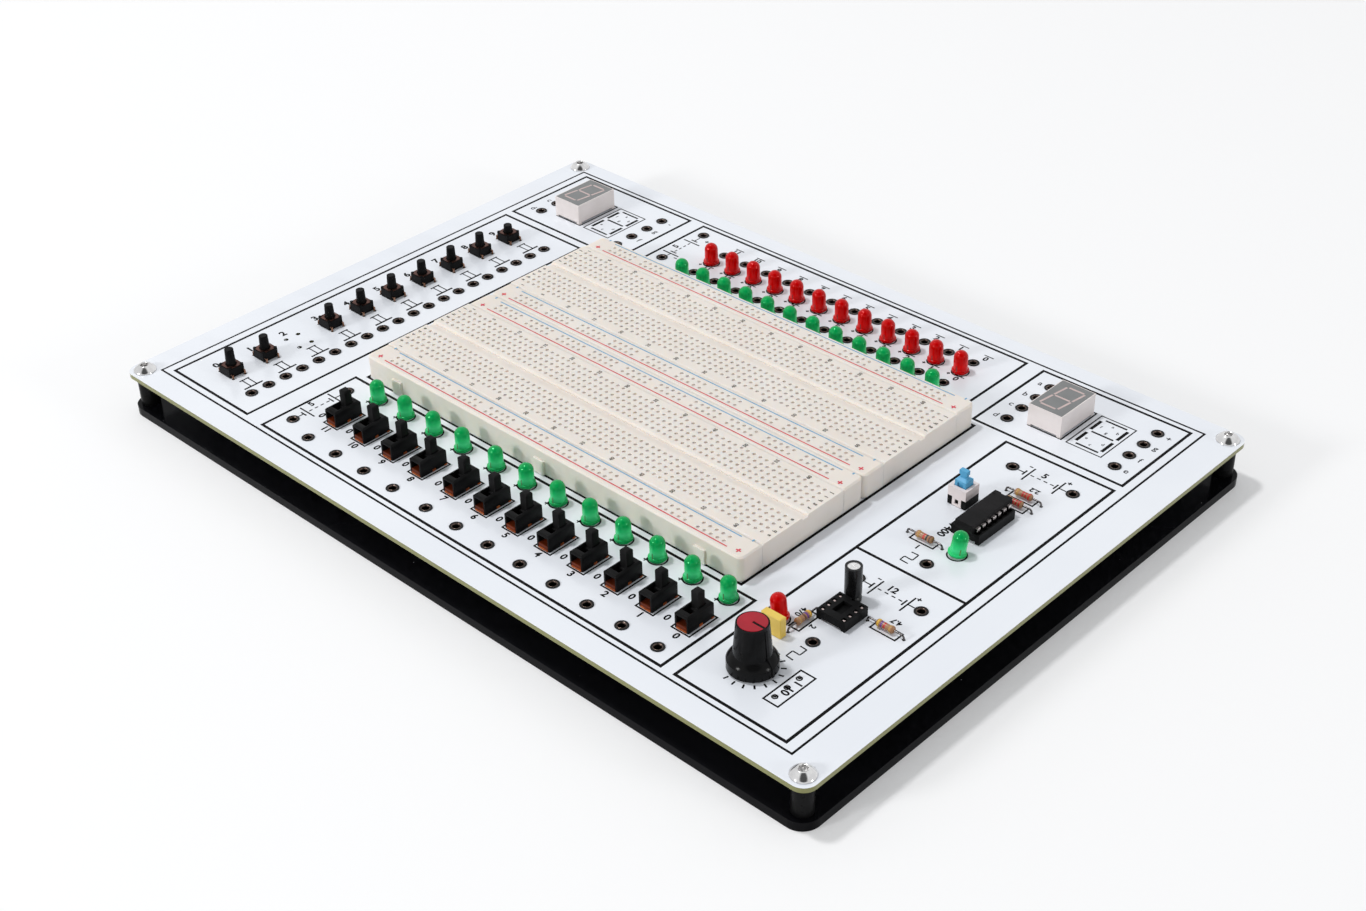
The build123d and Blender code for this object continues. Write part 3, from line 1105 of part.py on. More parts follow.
with BuildPart() as component_leads:
    groups = [(lamp_leads, SEAT), (switch_pins, SEAT + WAFER_THICKNESS + LEAD_WIDTH / 2),
              (display_pins, PANEL_TOP + DISPLAY_FOOT_HEIGHT),
              (select_pins, SEAT), (capacitor_leads, can_bottom), (film_leads, SEAT),
              (chip_contacts, PANEL_TOP + CHIP_SOCKET_HEIGHT / 3)]
    for places, level in groups:
        with BuildSketch(Plane.XY.offset(TAIL_END)):
            with Locations(*places):
                Rectangle(LEAD_WIDTH, LEAD_WIDTH)
        extrude(amount=level - TAIL_END)
    with BuildSketch(Plane.XY.offset(pot_top - POT_HEIGHT / 2 + POT_TAB_THICKNESS)):
        with Locations(*pot_pins):
            Rectangle(LEAD_WIDTH, LEAD_WIDTH)
    extrude(amount=PANEL_TOP + LEAD_WIDTH - pot_top + POT_HEIGHT / 2 - POT_TAB_THICKNESS)
    for (x, y), angle, toward in leaning_lamps:
        for side in (-1, 1):
            dip = side * LAMP_LEAD_PITCH / 2 * cos(radians(toward)) + LEAD_WIDTH
            lead_top = SEAT + lamp_lift(angle) - dip * sin(radians(angle))
            with Locations((x + side * LAMP_LEAD_PITCH / 2, y, TAIL_END)):
                Box(LEAD_WIDTH, LEAD_WIDTH, lead_top - TAIL_END, align=UPRIGHT)
    add(bent_wires + button_legs)
save(component_leads, "component_leads")
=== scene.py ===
import math

import bmesh
import bpy
from mathutils import Matrix, Vector


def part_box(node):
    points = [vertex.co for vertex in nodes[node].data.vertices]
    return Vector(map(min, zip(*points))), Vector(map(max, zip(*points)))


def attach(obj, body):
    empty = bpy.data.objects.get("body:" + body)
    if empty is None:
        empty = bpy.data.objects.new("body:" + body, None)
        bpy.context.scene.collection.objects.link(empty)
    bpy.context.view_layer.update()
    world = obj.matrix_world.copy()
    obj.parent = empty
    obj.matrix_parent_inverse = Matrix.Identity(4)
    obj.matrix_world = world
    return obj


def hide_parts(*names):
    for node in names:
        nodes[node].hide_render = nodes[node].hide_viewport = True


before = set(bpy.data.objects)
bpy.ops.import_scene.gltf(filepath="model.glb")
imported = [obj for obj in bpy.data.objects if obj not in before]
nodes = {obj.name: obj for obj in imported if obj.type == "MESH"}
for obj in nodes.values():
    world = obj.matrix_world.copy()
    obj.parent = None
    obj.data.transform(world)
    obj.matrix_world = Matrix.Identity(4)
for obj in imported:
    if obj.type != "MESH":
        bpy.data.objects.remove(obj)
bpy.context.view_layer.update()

MM = 0.001

# ---------------------------------------------------------------- camera
# A camera with a 52.8 mm lens stands off the trainer's front right corner and looks down on it,
# tipped a little over one degree off level.
CAMERA_PLACE = Vector((383.7, -387.8, 366.6)) * MM
CAMERA_AIM = Vector((24.45, -18.26, 15.6)) * MM
CAMERA_TIP = math.radians(-1.32)
CAMERA_LENS = 52.83

camera_data = bpy.data.cameras.new("camera")
camera_data.lens = CAMERA_LENS
camera_data.sensor_width = 36
camera_data.clip_start = 0.01
camera = bpy.data.objects.new("camera", camera_data)
looking = (CAMERA_AIM - CAMERA_PLACE).to_track_quat("-Z", "Y").to_matrix()
tipped = looking @ Matrix.Rotation(CAMERA_TIP, 3, "Z")
camera.matrix_world = Matrix.Translation(CAMERA_PLACE) @ tipped.to_4x4()
bpy.context.scene.collection.objects.link(camera)
bpy.context.scene.camera = camera
bpy.context.scene.view_settings.view_transform = "Standard"

# ---------------------------------------------------------------- studio
# A white table and a white surround light the trainer evenly. Three lamps, overhead, low in front
# and low at the right, add the small bright spots and the soft shadows. The surround has one dim gap.
FLOOR_SIZE = 6.0
FLOOR_DROP = 0.1 * MM
FLOOR_COLOUR = (0.96, 0.96, 0.965, 1)
SURROUND_STRENGTH = 0.55
GAP_TOWARD = (0.42, -0.42, 0.8)
GAP_EDGE = math.cos(math.radians(32))
GAP_MIDDLE = math.cos(math.radians(20))
GAP_STRENGTH = 0.1
LAMP_DISTANCE = 3.2
LAMPS_ROUND = [("overhead_lamp", (-0.36, -0.14, 0.925), 0.2, 42.0),
               ("front_lamp", (-0.30, -0.88, 0.37), 0.3, 35.0),
               ("right_lamp", (0.94, 0.23, 0.27), 0.3, 14.0)]
TABLE_GLOW = 0.25

floor_mesh = bpy.data.meshes.new("floor")
half = FLOOR_SIZE / 2
corners = [(-half, -half), (half, -half), (half, half), (-half, half)]
floor_mesh.from_pydata([(x, y, -FLOOR_DROP) for x, y in corners], [], [(0, 1, 2, 3)])
floor = bpy.data.objects.new("floor", floor_mesh)
bpy.context.scene.collection.objects.link(floor)
table = bpy.data.materials.new("white_table")
table.use_nodes = True
table_shader = table.node_tree.nodes["Principled BSDF"]
table_shader.inputs["Base Color"].default_value = FLOOR_COLOUR
table_shader.inputs["Roughness"].default_value = 0.55
table_shader.inputs["Specular IOR Level"].default_value = 0.2
table_tree = table.node_tree
lit_table = table_tree.nodes.new("ShaderNodeMixShader")
pale_table = table_tree.nodes.new("ShaderNodeEmission")


def worked_out(tree, operation, first, second):
    """A number worked out from a socket and another socket or a plain number."""
    step = tree.nodes.new("ShaderNodeMath")
    step.operation = operation
    tree.links.new(first, step.inputs[0])
    if isinstance(second, float):
        step.inputs[1].default_value = second
    else:
        tree.links.new(second, step.inputs[1])
    return step.outputs["Value"]


def seen_rays(tree):
    """One for a ray from the camera, a reflection or a clear body, and nothing for a lighting ray."""
    rays = tree.nodes.new("ShaderNodeLightPath")
    seen = rays.outputs["Is Camera Ray"]
    for kind in ("Is Glossy Ray", "Is Transmission Ray"):
        seen = worked_out(tree, "MAXIMUM", seen, rays.outputs[kind])
    return seen


def spread(tree, amount, low, high, start=0.3, stop=0.7):
    """Turns an amount from start to stop into a number from low to high."""
    change = tree.nodes.new("ShaderNodeMapRange")
    change.inputs["From Min"].default_value = start
    change.inputs["From Max"].default_value = stop
    change.inputs["To Min"].default_value = low
    change.inputs["To Max"].default_value = high
    tree.links.new(amount, change.inputs["Value"])
    return change.outputs["Result"]


how_pale = worked_out(table_tree, "MULTIPLY", seen_rays(table_tree), TABLE_GLOW)
table_tree.links.new(how_pale, lit_table.inputs["Fac"])
table_tree.links.new(table_shader.outputs["BSDF"], lit_table.inputs[1])
table_tree.links.new(pale_table.outputs["Emission"], lit_table.inputs[2])
table_tree.links.new(lit_table.outputs["Shader"], table_tree.nodes["Material Output"].inputs["Surface"])
floor_mesh.materials.append(table)

world = bpy.data.worlds.new("surround")
world.use_nodes = True
bpy.context.scene.world = world
world_tree = world.node_tree
background = world_tree.nodes["Background"]
background.inputs["Color"].default_value = (0.97, 0.985, 1, 1)
toward_gap = world_tree.nodes.new("ShaderNodeVectorMath")
toward_gap.operation = "DOT_PRODUCT"
toward_gap.inputs[1].default_value = Vector(GAP_TOWARD).normalized()
world_tree.links.new(world_tree.nodes.new("ShaderNodeTexCoord").outputs["Generated"], toward_gap.inputs[0])
gap = spread(world_tree, toward_gap.outputs["Value"], 1.0, GAP_STRENGTH, GAP_EDGE, GAP_MIDDLE)
surround = spread(world_tree, seen_rays(world_tree), SURROUND_STRENGTH, 1.0, 0.0, 1.0)
world_tree.links.new(worked_out(world_tree, "MULTIPLY", surround, gap), background.inputs["Strength"])

for lamp_name, toward, radius, watts in LAMPS_ROUND:
    light = bpy.data.lights.new(lamp_name, "AREA")
    light.shape = "DISK"
    light.size = 2 * radius
    light.energy = watts
    lamp_object = bpy.data.objects.new(lamp_name, light)
    direction = Vector(toward).normalized()
    facing_part = direction.to_track_quat("Z", "Y").to_matrix().to_4x4()
    lamp_object.matrix_world = Matrix.Translation(direction * LAMP_DISTANCE) @ facing_part
    bpy.context.scene.collection.objects.link(lamp_object)

# ---------------------------------------------------------------- base plate
# A 3 mm sheet of black cast acrylic with rounded corners and polished sawn edges. Fine dust
# and hairline scuffs catch the light on its faces.
BASE_BLACK = (0.004, 0.004, 0.005, 1)
BASE_DUST = (0.35, 0.35, 0.36, 1)
BASE_SHINE = 0.05


def start_material(name):
    """A new material: its node tree, its shader and a place in the part's own metres."""
    made = bpy.data.materials.new(name)
    made.use_nodes = True
    tree = made.node_tree
    place = tree.nodes.new("ShaderNodeTexCoord").outputs["Object"]
    return made, tree, tree.nodes["Principled BSDF"], place


def noise(tree, place, size, detail=2.0):
    """Cloudy noise whose patches are about size millimetres across."""
    cloud = tree.nodes.new("ShaderNodeTexNoise")
    cloud.inputs["Scale"].default_value = 1 / (size * MM)
    cloud.inputs["Detail"].default_value = detail
    tree.links.new(place, cloud.inputs["Vector"])
    return cloud.outputs["Fac"]


def two_tone(tree, amount, low, high, start=0.35, stop=0.65):
    """Turns an amount from start to stop into a colour from low to high."""
    ramp = tree.nodes.new("ShaderNodeValToRGB")
    ramp.color_ramp.elements[0].position = start
    ramp.color_ramp.elements[0].color = low
    ramp.color_ramp.elements[1].position = stop
    ramp.color_ramp.elements[1].color = high
    tree.links.new(amount, ramp.inputs["Fac"])
    return ramp.outputs["Color"]


def raise_grain(tree, shader, amount, depth, strength=0.6):
    """Bumps the surface by up to depth millimetres where the amount is high."""
    bump = tree.nodes.new("ShaderNodeBump")
    bump.inputs["Strength"].default_value = strength
    bump.inputs["Distance"].default_value = depth * MM
    tree.links.new(amount, bump.inputs["Height"])
    tree.links.new(bump.outputs["Normal"], shader.inputs["Normal"])


def finish_nodes(material, *names):
    """Gives solids of the frame their finish."""
    for name in names:
        for material_slot in nodes[name].material_slots:
            material_slot.material = material


def cells(tree, place, size):
    """Distance to the nearest of scattered points about size millimetres apart."""
    dots = tree.nodes.new("ShaderNodeTexVoronoi")
    dots.inputs["Scale"].default_value = 1 / (size * MM)
    tree.links.new(place, dots.inputs["Vector"])
    return dots.outputs["Distance"]


acrylic, tree, shader, place = start_material("black_acrylic")
shader.inputs["Specular IOR Level"].default_value = BASE_SHINE
dust = two_tone(tree, cells(tree, place, 5.5), BASE_DUST, BASE_BLACK, 0.018, 0.034)
tree.links.new(dust, shader.inputs["Base Color"])
tree.links.new(spread(tree, noise(tree, place, 22, 4), 0.08, 0.2), shader.inputs["Roughness"])
raise_grain(tree, shader, noise(tree, place, 1.4, 3), 0.004, 0.25)
finish_nodes(acrylic, "base_plate")

# ---------------------------------------------------------------- spacers
# Four moulded black nylon spacers, 11 mm long, hold the panel over the base. A screw goes into
# each end.
BLACK = (0.0035, 0.0035, 0.0035, 1)
BLACK_WORN = (0.008, 0.008, 0.0085, 1)
BLACK_SHINE = 0.06
GLOSS_SPREAD = 0.05


def moulded(name, colour, other, roughness, grain=0.5, depth=0.006, shine=0.5, cloud=6):
    """Moulded plastic: two close shades in clouds, an uneven gloss and a fine grain."""
    made, tree, shader, place = start_material(name)
    shader.inputs["Specular IOR Level"].default_value = shine
    tree.links.new(two_tone(tree, noise(tree, place, cloud, 4), colour, other), shader.inputs["Base Color"])
    gloss = spread(tree, noise(tree, place, cloud / 3, 3), roughness - GLOSS_SPREAD, roughness + GLOSS_SPREAD)
    tree.links.new(gloss, shader.inputs["Roughness"])
    raise_grain(tree, shader, noise(tree, place, grain, 2), depth)
    return made


def black_plastic(name, roughness, grain=0.3, depth=0.01, shine=BLACK_SHINE):
    """Moulded black plastic."""
    return moulded(name, BLACK, BLACK_WORN, roughness, grain, depth, shine)


finish_nodes(black_plastic("spacer_nylon", 0.3), "spacers")

# ---------------------------------------------------------------- screws
# Bright plated M4 screws, two to a spacer. One with a domed button head and a hexagon socket goes
# down through the panel, and a countersunk one comes up through the base plate.
PANEL_TOP = 15.6
SCREW_REACH = (145, 101.5)
SCREW_PLACES = [(sx * SCREW_REACH[0], sy * SCREW_REACH[1]) for sx in (-1, 1) for sy in (-1, 1)]
HEAD_PROFILE = [(0, -6.4), (1.7, -6.4), (2.0, -6.1), (2.0, 0), (3.62, 0), (3.76, 0.06), (3.8, 0.18),
                (3.74, 0.36), (3.5, 0.66), (3.12, 1.06), (2.7, 1.44), (2.3, 1.77), (2.0, 1.99), (1.84, 2.1),
                (1.7, 2.17), (1.58, 2.17), (1.46, 2.08)]
HEAD_STEPS = 48
HEX_WIDTH = 2.5
HEX_RIM = 1.98
HEX_FLOOR = 0.9
HEX_POINT = 0.6
SHARP_ANGLE = math.radians(38)
SCRATCH_SIZE = 0.3


def ring(mesh, radius, height, steps):
    """A ring of points, or a single one where the radius is nothing."""
    if radius == 0:
        return [mesh.verts.new((0, 0, height * MM))]
    angles = [2 * math.pi * i / steps for i in range(steps)]
    return [mesh.verts.new((radius * math.cos(a) * MM, radius * math.sin(a) * MM, height * MM))
            for a in angles]


def join_rings(mesh, lower, upper, material=0):
    """Faces between two rings with as many points, or between a ring and a point."""
    steps = max(len(lower), len(upper))
    for i in range(steps):
        j = (i + 1) % steps
        corners = [lower[i % len(lower)], lower[j % len(lower)], upper[j % len(upper)], upper[i % len(upper)]]
        face = mesh.faces.new(list(dict.fromkeys(corners)))
        face.material_index = material


def lathe(mesh, profile, steps, material=0):
    """Turns a profile of (radius, height) points in millimetres about the upright axis."""
    rings = [ring(mesh, radius, height, steps) for radius, height in profile]
    for lower, upper in zip(rings, rings[1:]):
        join_rings(mesh, lower, upper, material)
    return rings


def copies(one, places):
    """A mesh with the one mesh's shape at each place, a point in millimetres or a matrix."""
    shape = bpy.data.meshes.new("shape")
    one.to_mesh(shape)
    one.free()
    many = bmesh.new()
    for location in places:
        before = len(many.verts)
        many.from_mesh(shape)
        many.verts.ensure_lookup_table()
        move = location if isinstance(location, Matrix) else Matrix.Translation(Vector(location) * MM)
        bmesh.ops.transform(many, matrix=move, verts=many.verts[before:])
    bpy.data.meshes.remove(shape)
    return many


def make_piece(name, mesh, materials, body="trainer", replaced=()):
    """Turns a mesh into a piece with soft shading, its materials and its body."""
    bmesh.ops.recalc_face_normals(mesh, faces=mesh.faces)
    for edge in mesh.edges:
        edge.smooth = len(edge.link_faces) == 2 and edge.calc_face_angle(0) < SHARP_ANGLE
    for face in mesh.faces:
        face.smooth = True
    data = bpy.data.meshes.new(name)
    mesh.to_mesh(data)
    mesh.free()
    for material in materials:
        data.materials.append(material)
    piece = bpy.data.objects.new(name, data)
    bpy.context.scene.collection.objects.link(piece)
    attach(piece, body)
    if replaced:
        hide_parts(*replaced)
    return piece


def plated(name, colour, other, roughness, cloud=3.0):
    """Plated metal: two close shades, a patchy polish and fine scratches."""
    made, tree, shader, place = start_material(name)
    shader.inputs["Metallic"].default_value = 1
    tree.links.new(two_tone(tree, noise(tree, place, cloud, 3), colour, other), shader.inputs["Base Color"])
    polish = spread(tree, noise(tree, place, cloud / 4, 4), roughness * 0.6, roughness * 1.4)
    tree.links.new(polish, shader.inputs["Roughness"])
    raise_grain(tree, shader, noise(tree, place, SCRATCH_SIZE, 3), 0.004, 0.3)
    return made


screw_plate = plated("bright_plate", (0.6, 0.59, 0.59, 1), (0.74, 0.73, 0.72, 1), 0.11)
head = bmesh.new()
head_rings = lathe(head, HEAD_PROFILE, HEAD_STEPS)
hexagon = []
for i in range(HEAD_STEPS):
    angle = 2 * math.pi * i / HEAD_STEPS
    reach = HEX_WIDTH / 2 / math.cos((angle % (math.pi / 3)) - math.pi / 6)
    hexagon.append((reach * math.cos(angle), reach * math.sin(angle)))
hex_rings = [[head.verts.new((x * MM, y * MM, z * MM)) for x, y in hexagon] for z in (HEX_RIM, HEX_FLOOR)]
join_rings(head, head_rings[-1], hex_rings[0])
join_rings(head, hex_rings[0], hex_rings[1])
join_rings(head, hex_rings[1], [head.verts.new((0, 0, HEX_POINT * MM))])
make_piece("panel_screws", copies(head, [(x, y, PANEL_TOP) for x, y in SCREW_PLACES]), [screw_plate],
           replaced=["corner_screws"])
finish_nodes(screw_plate, "base_screws")

# ---------------------------------------------------------------- panel
# A 1.6 mm printed circuit board. Both faces carry white solder mask, and the routed edge shows
# the olive glass laminate.
MASK_WHITE = (0.86, 0.885, 0.93, 1)
MASK_SHADE = (0.80, 0.83, 0.885, 1)
LAMINATE = (0.27, 0.27, 0.10, 1)
LAMINATE_DARK = (0.16, 0.16, 0.05, 1)


def axis_of(tree, place, axis):
    """One axis of a place or a direction."""
    split = tree.nodes.new("ShaderNodeSeparateXYZ")
    tree.links.new(place, split.inputs["Vector"])
    return split.outputs[axis]


def mixed(tree, amount, first, second, blend="MIX"):
    """Mixes two colours, each a socket or a plain colour, by an amount."""
    mix = tree.nodes.new("ShaderNodeMix")
    mix.data_type = "RGBA"
    mix.blend_type = blend
    tree.links.new(amount, mix.inputs["Factor"])
    for colour, socket in ((first, mix.inputs["A"]), (second, mix.inputs["B"])):
        if isinstance(colour, tuple):
            socket.default_value = colour
        else:
            tree.links.new(colour, socket)
    return mix.outputs["Result"]


board, tree, shader, place = start_material("white_board")
mask = two_tone(tree, noise(tree, place, 60, 3), MASK_WHITE, MASK_SHADE, 0.3, 0.75)
weave = tree.nodes.new("ShaderNodeTexWave")
weave.bands_direction = "Z"
weave.inputs["Scale"].default_value = 1 / (1.3 * MM)
weave.inputs["Distortion"].default_value = 1.5
tree.links.new(place, weave.inputs["Vector"])
edge_colour = two_tone(tree, weave.outputs["Fac"], LAMINATE_DARK, LAMINATE, 0.2, 0.8)
facing = axis_of(tree, tree.nodes["Texture Coordinate"].outputs["Normal"], "Z")
level = worked_out(tree, "GREATER_THAN", worked_out(tree, "MULTIPLY", facing, facing), 0.25)
tree.links.new(mixed(tree, level, edge_colour, mask), shader.inputs["Base Color"])
tree.links.new(spread(tree, noise(tree, place, 8, 4), 0.14, 0.24), shader.inputs["Roughness"])
raise_grain(tree, shader, noise(tree, place, 1.6, 3), 0.004, 0.2)
finish_nodes(board, "panel_board")

# ---------------------------------------------------------------- printing on the panel
# Black epoxy ink screened on the white mask: frames round each section, circuit symbols, part
# outlines, numbers and single letters. It stands a few hundredths of a millimetre proud.
INK_HEIGHT = 0.03
FRAME_LINE = 1.0
POST_LINE = 1.1
BAR_LINE = 0.75
OUTER_LINE = 0.72
THIN_LINE = 0.55
HAIR_LINE = 0.43
RING_STEPS = 28
FIGURE_WEIGHT = 0.035
LETTER_WEIGHT = 0.008
FIGURE_CAP = 0.69
FIGURE = 2.4
BUTTON_FIGURE = 2.8
CHIP_FIGURE = 2.5
SMALL_FIGURE = 2.3
PART_FIGURE = 1.9
SMALL_LETTER = 1.3
SOCKET_CLEAR = 2.3
SHORT_PLATE = 1.4
LONG_PLATE = 3.8
DASH = 1.3
DASH_STARTS = (0.08, 0.32, 0.56, 0.8)


def flat_face(mesh, points, material=0):
    """One flat face from (x, y) points in millimetres."""
    face = mesh.faces.new([mesh.verts.new((x * MM, y * MM, 0)) for x, y in points])
    face.material_index = material


def ink_bar(mesh, start, end, width, material=0):
    """A straight inked line with square ends."""
    (x0, y0), (x1, y1) = start, end
    length = math.hypot(x1 - x0, y1 - y0)
    nx, ny = -(y1 - y0) / length * width / 2, (x1 - x0) / length * width / 2
    corners = [(x0 + nx, y0 + ny), (x1 + nx, y1 + ny), (x1 - nx, y1 - ny), (x0 - nx, y0 - ny)]
    flat_face(mesh, corners, material)


def ink_bars(mesh, bars, x=0, y=0):
    """Inked lines, each with a start, an end and a width, moved by a distance."""
    for (x0, y0), (x1, y1), width in bars:
        ink_bar(mesh, (x0 + x, y0 + y), (x1 + x, y1 + y), width)


def moved(numbers, x, y=0):
    """The x, y pairs of a point or a box, moved by a distance."""
    return [number + (y if index % 2 else x) for index, number in enumerate(numbers)]


def ink_frame(mesh, x0, y0, x1, y1, width):
    """A rectangle of inked line with mitred corners, given by the middle of its line."""
    outer, inner = [[(x0 - w, y0 - w), (x1 + w, y0 - w), (x1 + w, y1 + w), (x0 - w, y1 + w)]
                    for w in (width / 2, -width / 2)]
    for i in range(4):
        j = (i + 1) % 4
        flat_face(mesh, [outer[i], outer[j], inner[j], inner[i]])


glyph_shapes = {}


def ink_text(mesh, words, x, y, height, turn=0, material=0, weight=FIGURE_WEIGHT):
    """Plain figures or a letter, centred on a point, height millimetres tall."""
    if (words, weight) not in glyph_shapes:
        letters = bpy.data.curves.new("letters", "FONT")
        letters.body = words
        letters.offset = weight
        letters.resolution_u = 3
        holder = bpy.data.objects.new("letters", letters)
        glyph_shapes[words, weight] = bpy.data.meshes.new_from_object(holder)
        bpy.data.objects.remove(holder)
    shape = glyph_shapes[words, weight]
    xs = [v.co.x for v in shape.vertices]
    ys = [v.co.y for v in shape.vertices]
    size = height / FIGURE_CAP * MM
    centre = Matrix.Translation((-(min(xs) + max(xs)) / 2, -(min(ys) + max(ys)) / 2, 0))
    place = (Matrix.Translation((x * MM, y * MM, 0)) @ Matrix.Rotation(math.radians(turn), 4, "Z")
             @ Matrix.Scale(size, 4) @ centre)
    points_before, faces_before = len(mesh.verts), len(mesh.faces)
    mesh.from_mesh(shape)
    mesh.verts.ensure_lookup_table()
    mesh.faces.ensure_lookup_table()
    bmesh.ops.transform(mesh, matrix=place, verts=mesh.verts[points_before:])
    for face in mesh.faces[faces_before:]:
        face.material_index = material


def lay_ink(mesh, level):
    """Gives the flat ink its thickness and lays it on a face at that level."""
    bottoms = mesh.faces[:]
    raised = bmesh.ops.extrude_face_region(mesh, geom=bottoms)
    tops = [item for item in raised["geom"] if isinstance(item, bmesh.types.BMVert)]
    bmesh.ops.translate(mesh, verts=tops, vec=(0, 0, INK_HEIGHT * MM))
    bmesh.ops.translate(mesh, verts=mesh.verts, vec=(0, 0, level * MM))
    return mesh


def ink_ring(mesh, x, y, inner, outer):
    """A ring of ink round a hole or a lamp."""
    for i in range(RING_STEPS):
        a, b = 2 * math.pi * i / RING_STEPS, 2 * math.pi * (i + 1) / RING_STEPS
        flat_face(mesh, [(x + r * math.cos(t), y + r * math.sin(t))
                         for r, t in ((inner, a), (outer, a), (outer, b), (inner, b))])


def ink_material(name, colour, other):
    """Screened ink: nearly flat colour, thin in places, with a dull gloss."""
    made, tree, shader, place = start_material(name)
    shader.inputs["Specular IOR Level"].default_value = 0.06
    thickness = noise(tree, place, 1.5, 4)
    tree.links.new(two_tone(tree, thickness, colour, other, 0.4, 0.8), shader.inputs["Base Color"])
    tree.links.new(spread(tree, noise(tree, place, 3, 2), 0.4, 0.55), shader.inputs["Roughness"])
    return made


SWITCH_STEP = 13.88
SWITCH_X = [-71.1 + SWITCH_STEP * i for i in range(4)] + [-13.96 + SWITCH_STEP * i for i in range(8)]
SWITCH_LAMP_Y = -61.6
SWITCH_NUMBER = (0.4, -83.4)
SWITCH_NOUGHT = (-7.0, -79.2)
SWITCH_PLUS = (-2.4, -64.2)
SWITCH_BOX = (-3.4, -81.4, 3.4, -70.0)
BUTTON_Y = [-82.9 + 13.86 * i for i in range(10)]
BUTTON_NUMBER = (-129.4, -1.0)
BUTTON_BARS = [((-114.9, -2.0), (-114.9, 1.9), THIN_LINE), ((-109.7, -3.8), (-109.7, 3.6), BAR_LINE),
               ((-114.9, -1.0), (-109.7, -1.0), HAIR_LINE), ((-114.9, 1.3), (-109.7, 1.3), HAIR_LINE)]
EMPTY_PADS = [(x, y) for x in (-125.24, -117.73) for y in (-57.84, -52.76)]
EMPTY_PAD_RING = (0.5, 0.8)
OUTPUT_X = [2.85 + (i - 5.5) * 10.16 for i in range(12)]
OUTPUT_RED_Y = 78.5
OUTPUT_GREEN_Y = 63.1
OUTPUT_NUMBER_Y = (90.4, 74.0)
OUTPUT_NUMBER = (1.6, 0)
OUTPUT_BAR = ((-0.2, 1.8), (3.6, 1.8), HAIR_LINE)
OUTPUT_PLUS = (-2.3, -3.4)
SMALL_PLUS = 0.6
OUTPUT_RING = (2.7, 3.15)
PULSE_LAMP = (118.5, -2.5)
CLOCK_LAMP = (99.9, -58.9)
# The lamp rings are print, slipped toward +X and -Y: their dark crescent by the flange is part print, part
# painted shadow.
RING_SHADOW_SLIP = 0.12
LAMP_RING = (2.7, 3.2)
DISPLAY_EDGE_X = (-137.0, 79.0)
DISPLAY_LETTER_X = (3.8, 52.3)
DISPLAY_LETTER_Y = [89.6 - 8.05 * row for row in range(4)]
DISPLAY_BOX = (14.9, 67.1, 27.4, 86.9)
DIGIT_BOX = (29.4, 67.0, 42.2, 86.9)
BOARD_FRAME = (-140.66, -97.8, 138.06, 99.4)
SECTION_FRAMES = [(-137.0, -95.0, -96.9, 54.6), (-88.2, -95.5, 89.3, -57.3), (-137.0, 58.4, -81.2, 97.2),
                  (-74.4, 58.4, 72.0, 97.2), (79.0, 58.4, 134.6, 97.0), (94.5, -95.4, 134.1, 54.7),
                  (-85.3, -54.4, 81.5, 55.4)]
CLOCK_FROM_PULSE = ((94.9, -18.9), (133.7, -18.9))
PART_BOXES = [(120.6, -44.9, 129.3, -41.3), (103.6, -59.3, 107.2, -50.4), (103.1, -4.9, 111.5, -1.6),
              (111.8, 31.7, 120.6, 34.9), (111.8, 26.7, 120.6, 29.9), (118.45, -86.75, 123.6, -71.45)]
BATTERIES = [((-87.0, -82.7, -81.3, -71.5, -70.0, -64.6), -83.25, False),
             ((91.8, 86.5, 85.0, 75.3, 73.9, 69.65), -69.0, False),
             ((104.0, 108.6, 110.0, 120.0, 121.1, 126.0), 44.7, True),
             ((104.3, 109.2, 110.6, 120.9, 122.1, 126.85), -30.0, True)]
PLUSES = [(-65.0, 89.0), (122.3, 48.9), (123.3, -26.2)]
MINUSES = [((-66.0, 72.4), (-64.5, 72.4), HAIR_LINE), ((107.9, 48.5), (109.1, 48.5), HAIR_LINE),
           ((108.5, -26.2), (109.7, -26.2), HAIR_LINE)]
FIGURES = [("5", -86.2, -77.4, FIGURE, 90), ("5", -71.5, 79.1, FIGURE, 90), ("5", 114.4, 47.2, FIGURE),
           ("12", 115.2, -27.5, FIGURE), ("470", 102.2, -52.4, PART_FIGURE, -90),
           ("2", 108.8, -55.3, PART_FIGURE, -90), ("4.7", 124.8, -38.4, PART_FIGURE, 180),
           ("1", 107.6, -7.0, PART_FIGURE, 180), ("2.2", 116.6, 38.6, PART_FIGURE, 180),
           ("7400", 108.9, 5.2, CHIP_FIGURE, -90), ("1", 121.6, -76.2, CHIP_FIGURE, -90),
           ("10", 121.3, -80.6, CHIP_FIGURE, -90)]
POT_PADS = [(120.3, -74.3), (120.3, -79.25), (120.3, -84.2)]
POT_PAD_RING = (0.55, 1.0)
KNOB_MIDDLE = (107.9, -79.1)
TICK_REACH = (7.6, 9.2)
TICK_ANGLES = [math.radians(-106.7 + 20.6 * tick) for tick in range(15)]
CLOCK_WAVE = [(114.1, -69.7), (111.5, -69.5), (111.5, -66.8), (114.1, -66.9), (114.1, -64.0), (111.7, -63.9)]
PULSE_WAVE = [(110.5, -15.2), (107.6, -15.1), (107.6, -13.0), (110.5, -13.1), (110.4, -10.0), (107.9, -10.1)]
DIGIT_BARS = [((31.9, 85.35), (39.8, 85.35), BAR_LINE), ((31.9, 77.3), (39.9, 77.3), BAR_LINE),
              ((31.9, 68.65), (40.1, 68.65), BAR_LINE), ((31.0, 78.2), (31.0, 84.2), POST_LINE),
              ((31.1, 69.9), (31.1, 76.0), POST_LINE), ((40.7, 78.2), (40.7, 84.4), POST_LINE),
              ((40.65, 69.7), (40.65, 76.0), POST_LINE)]
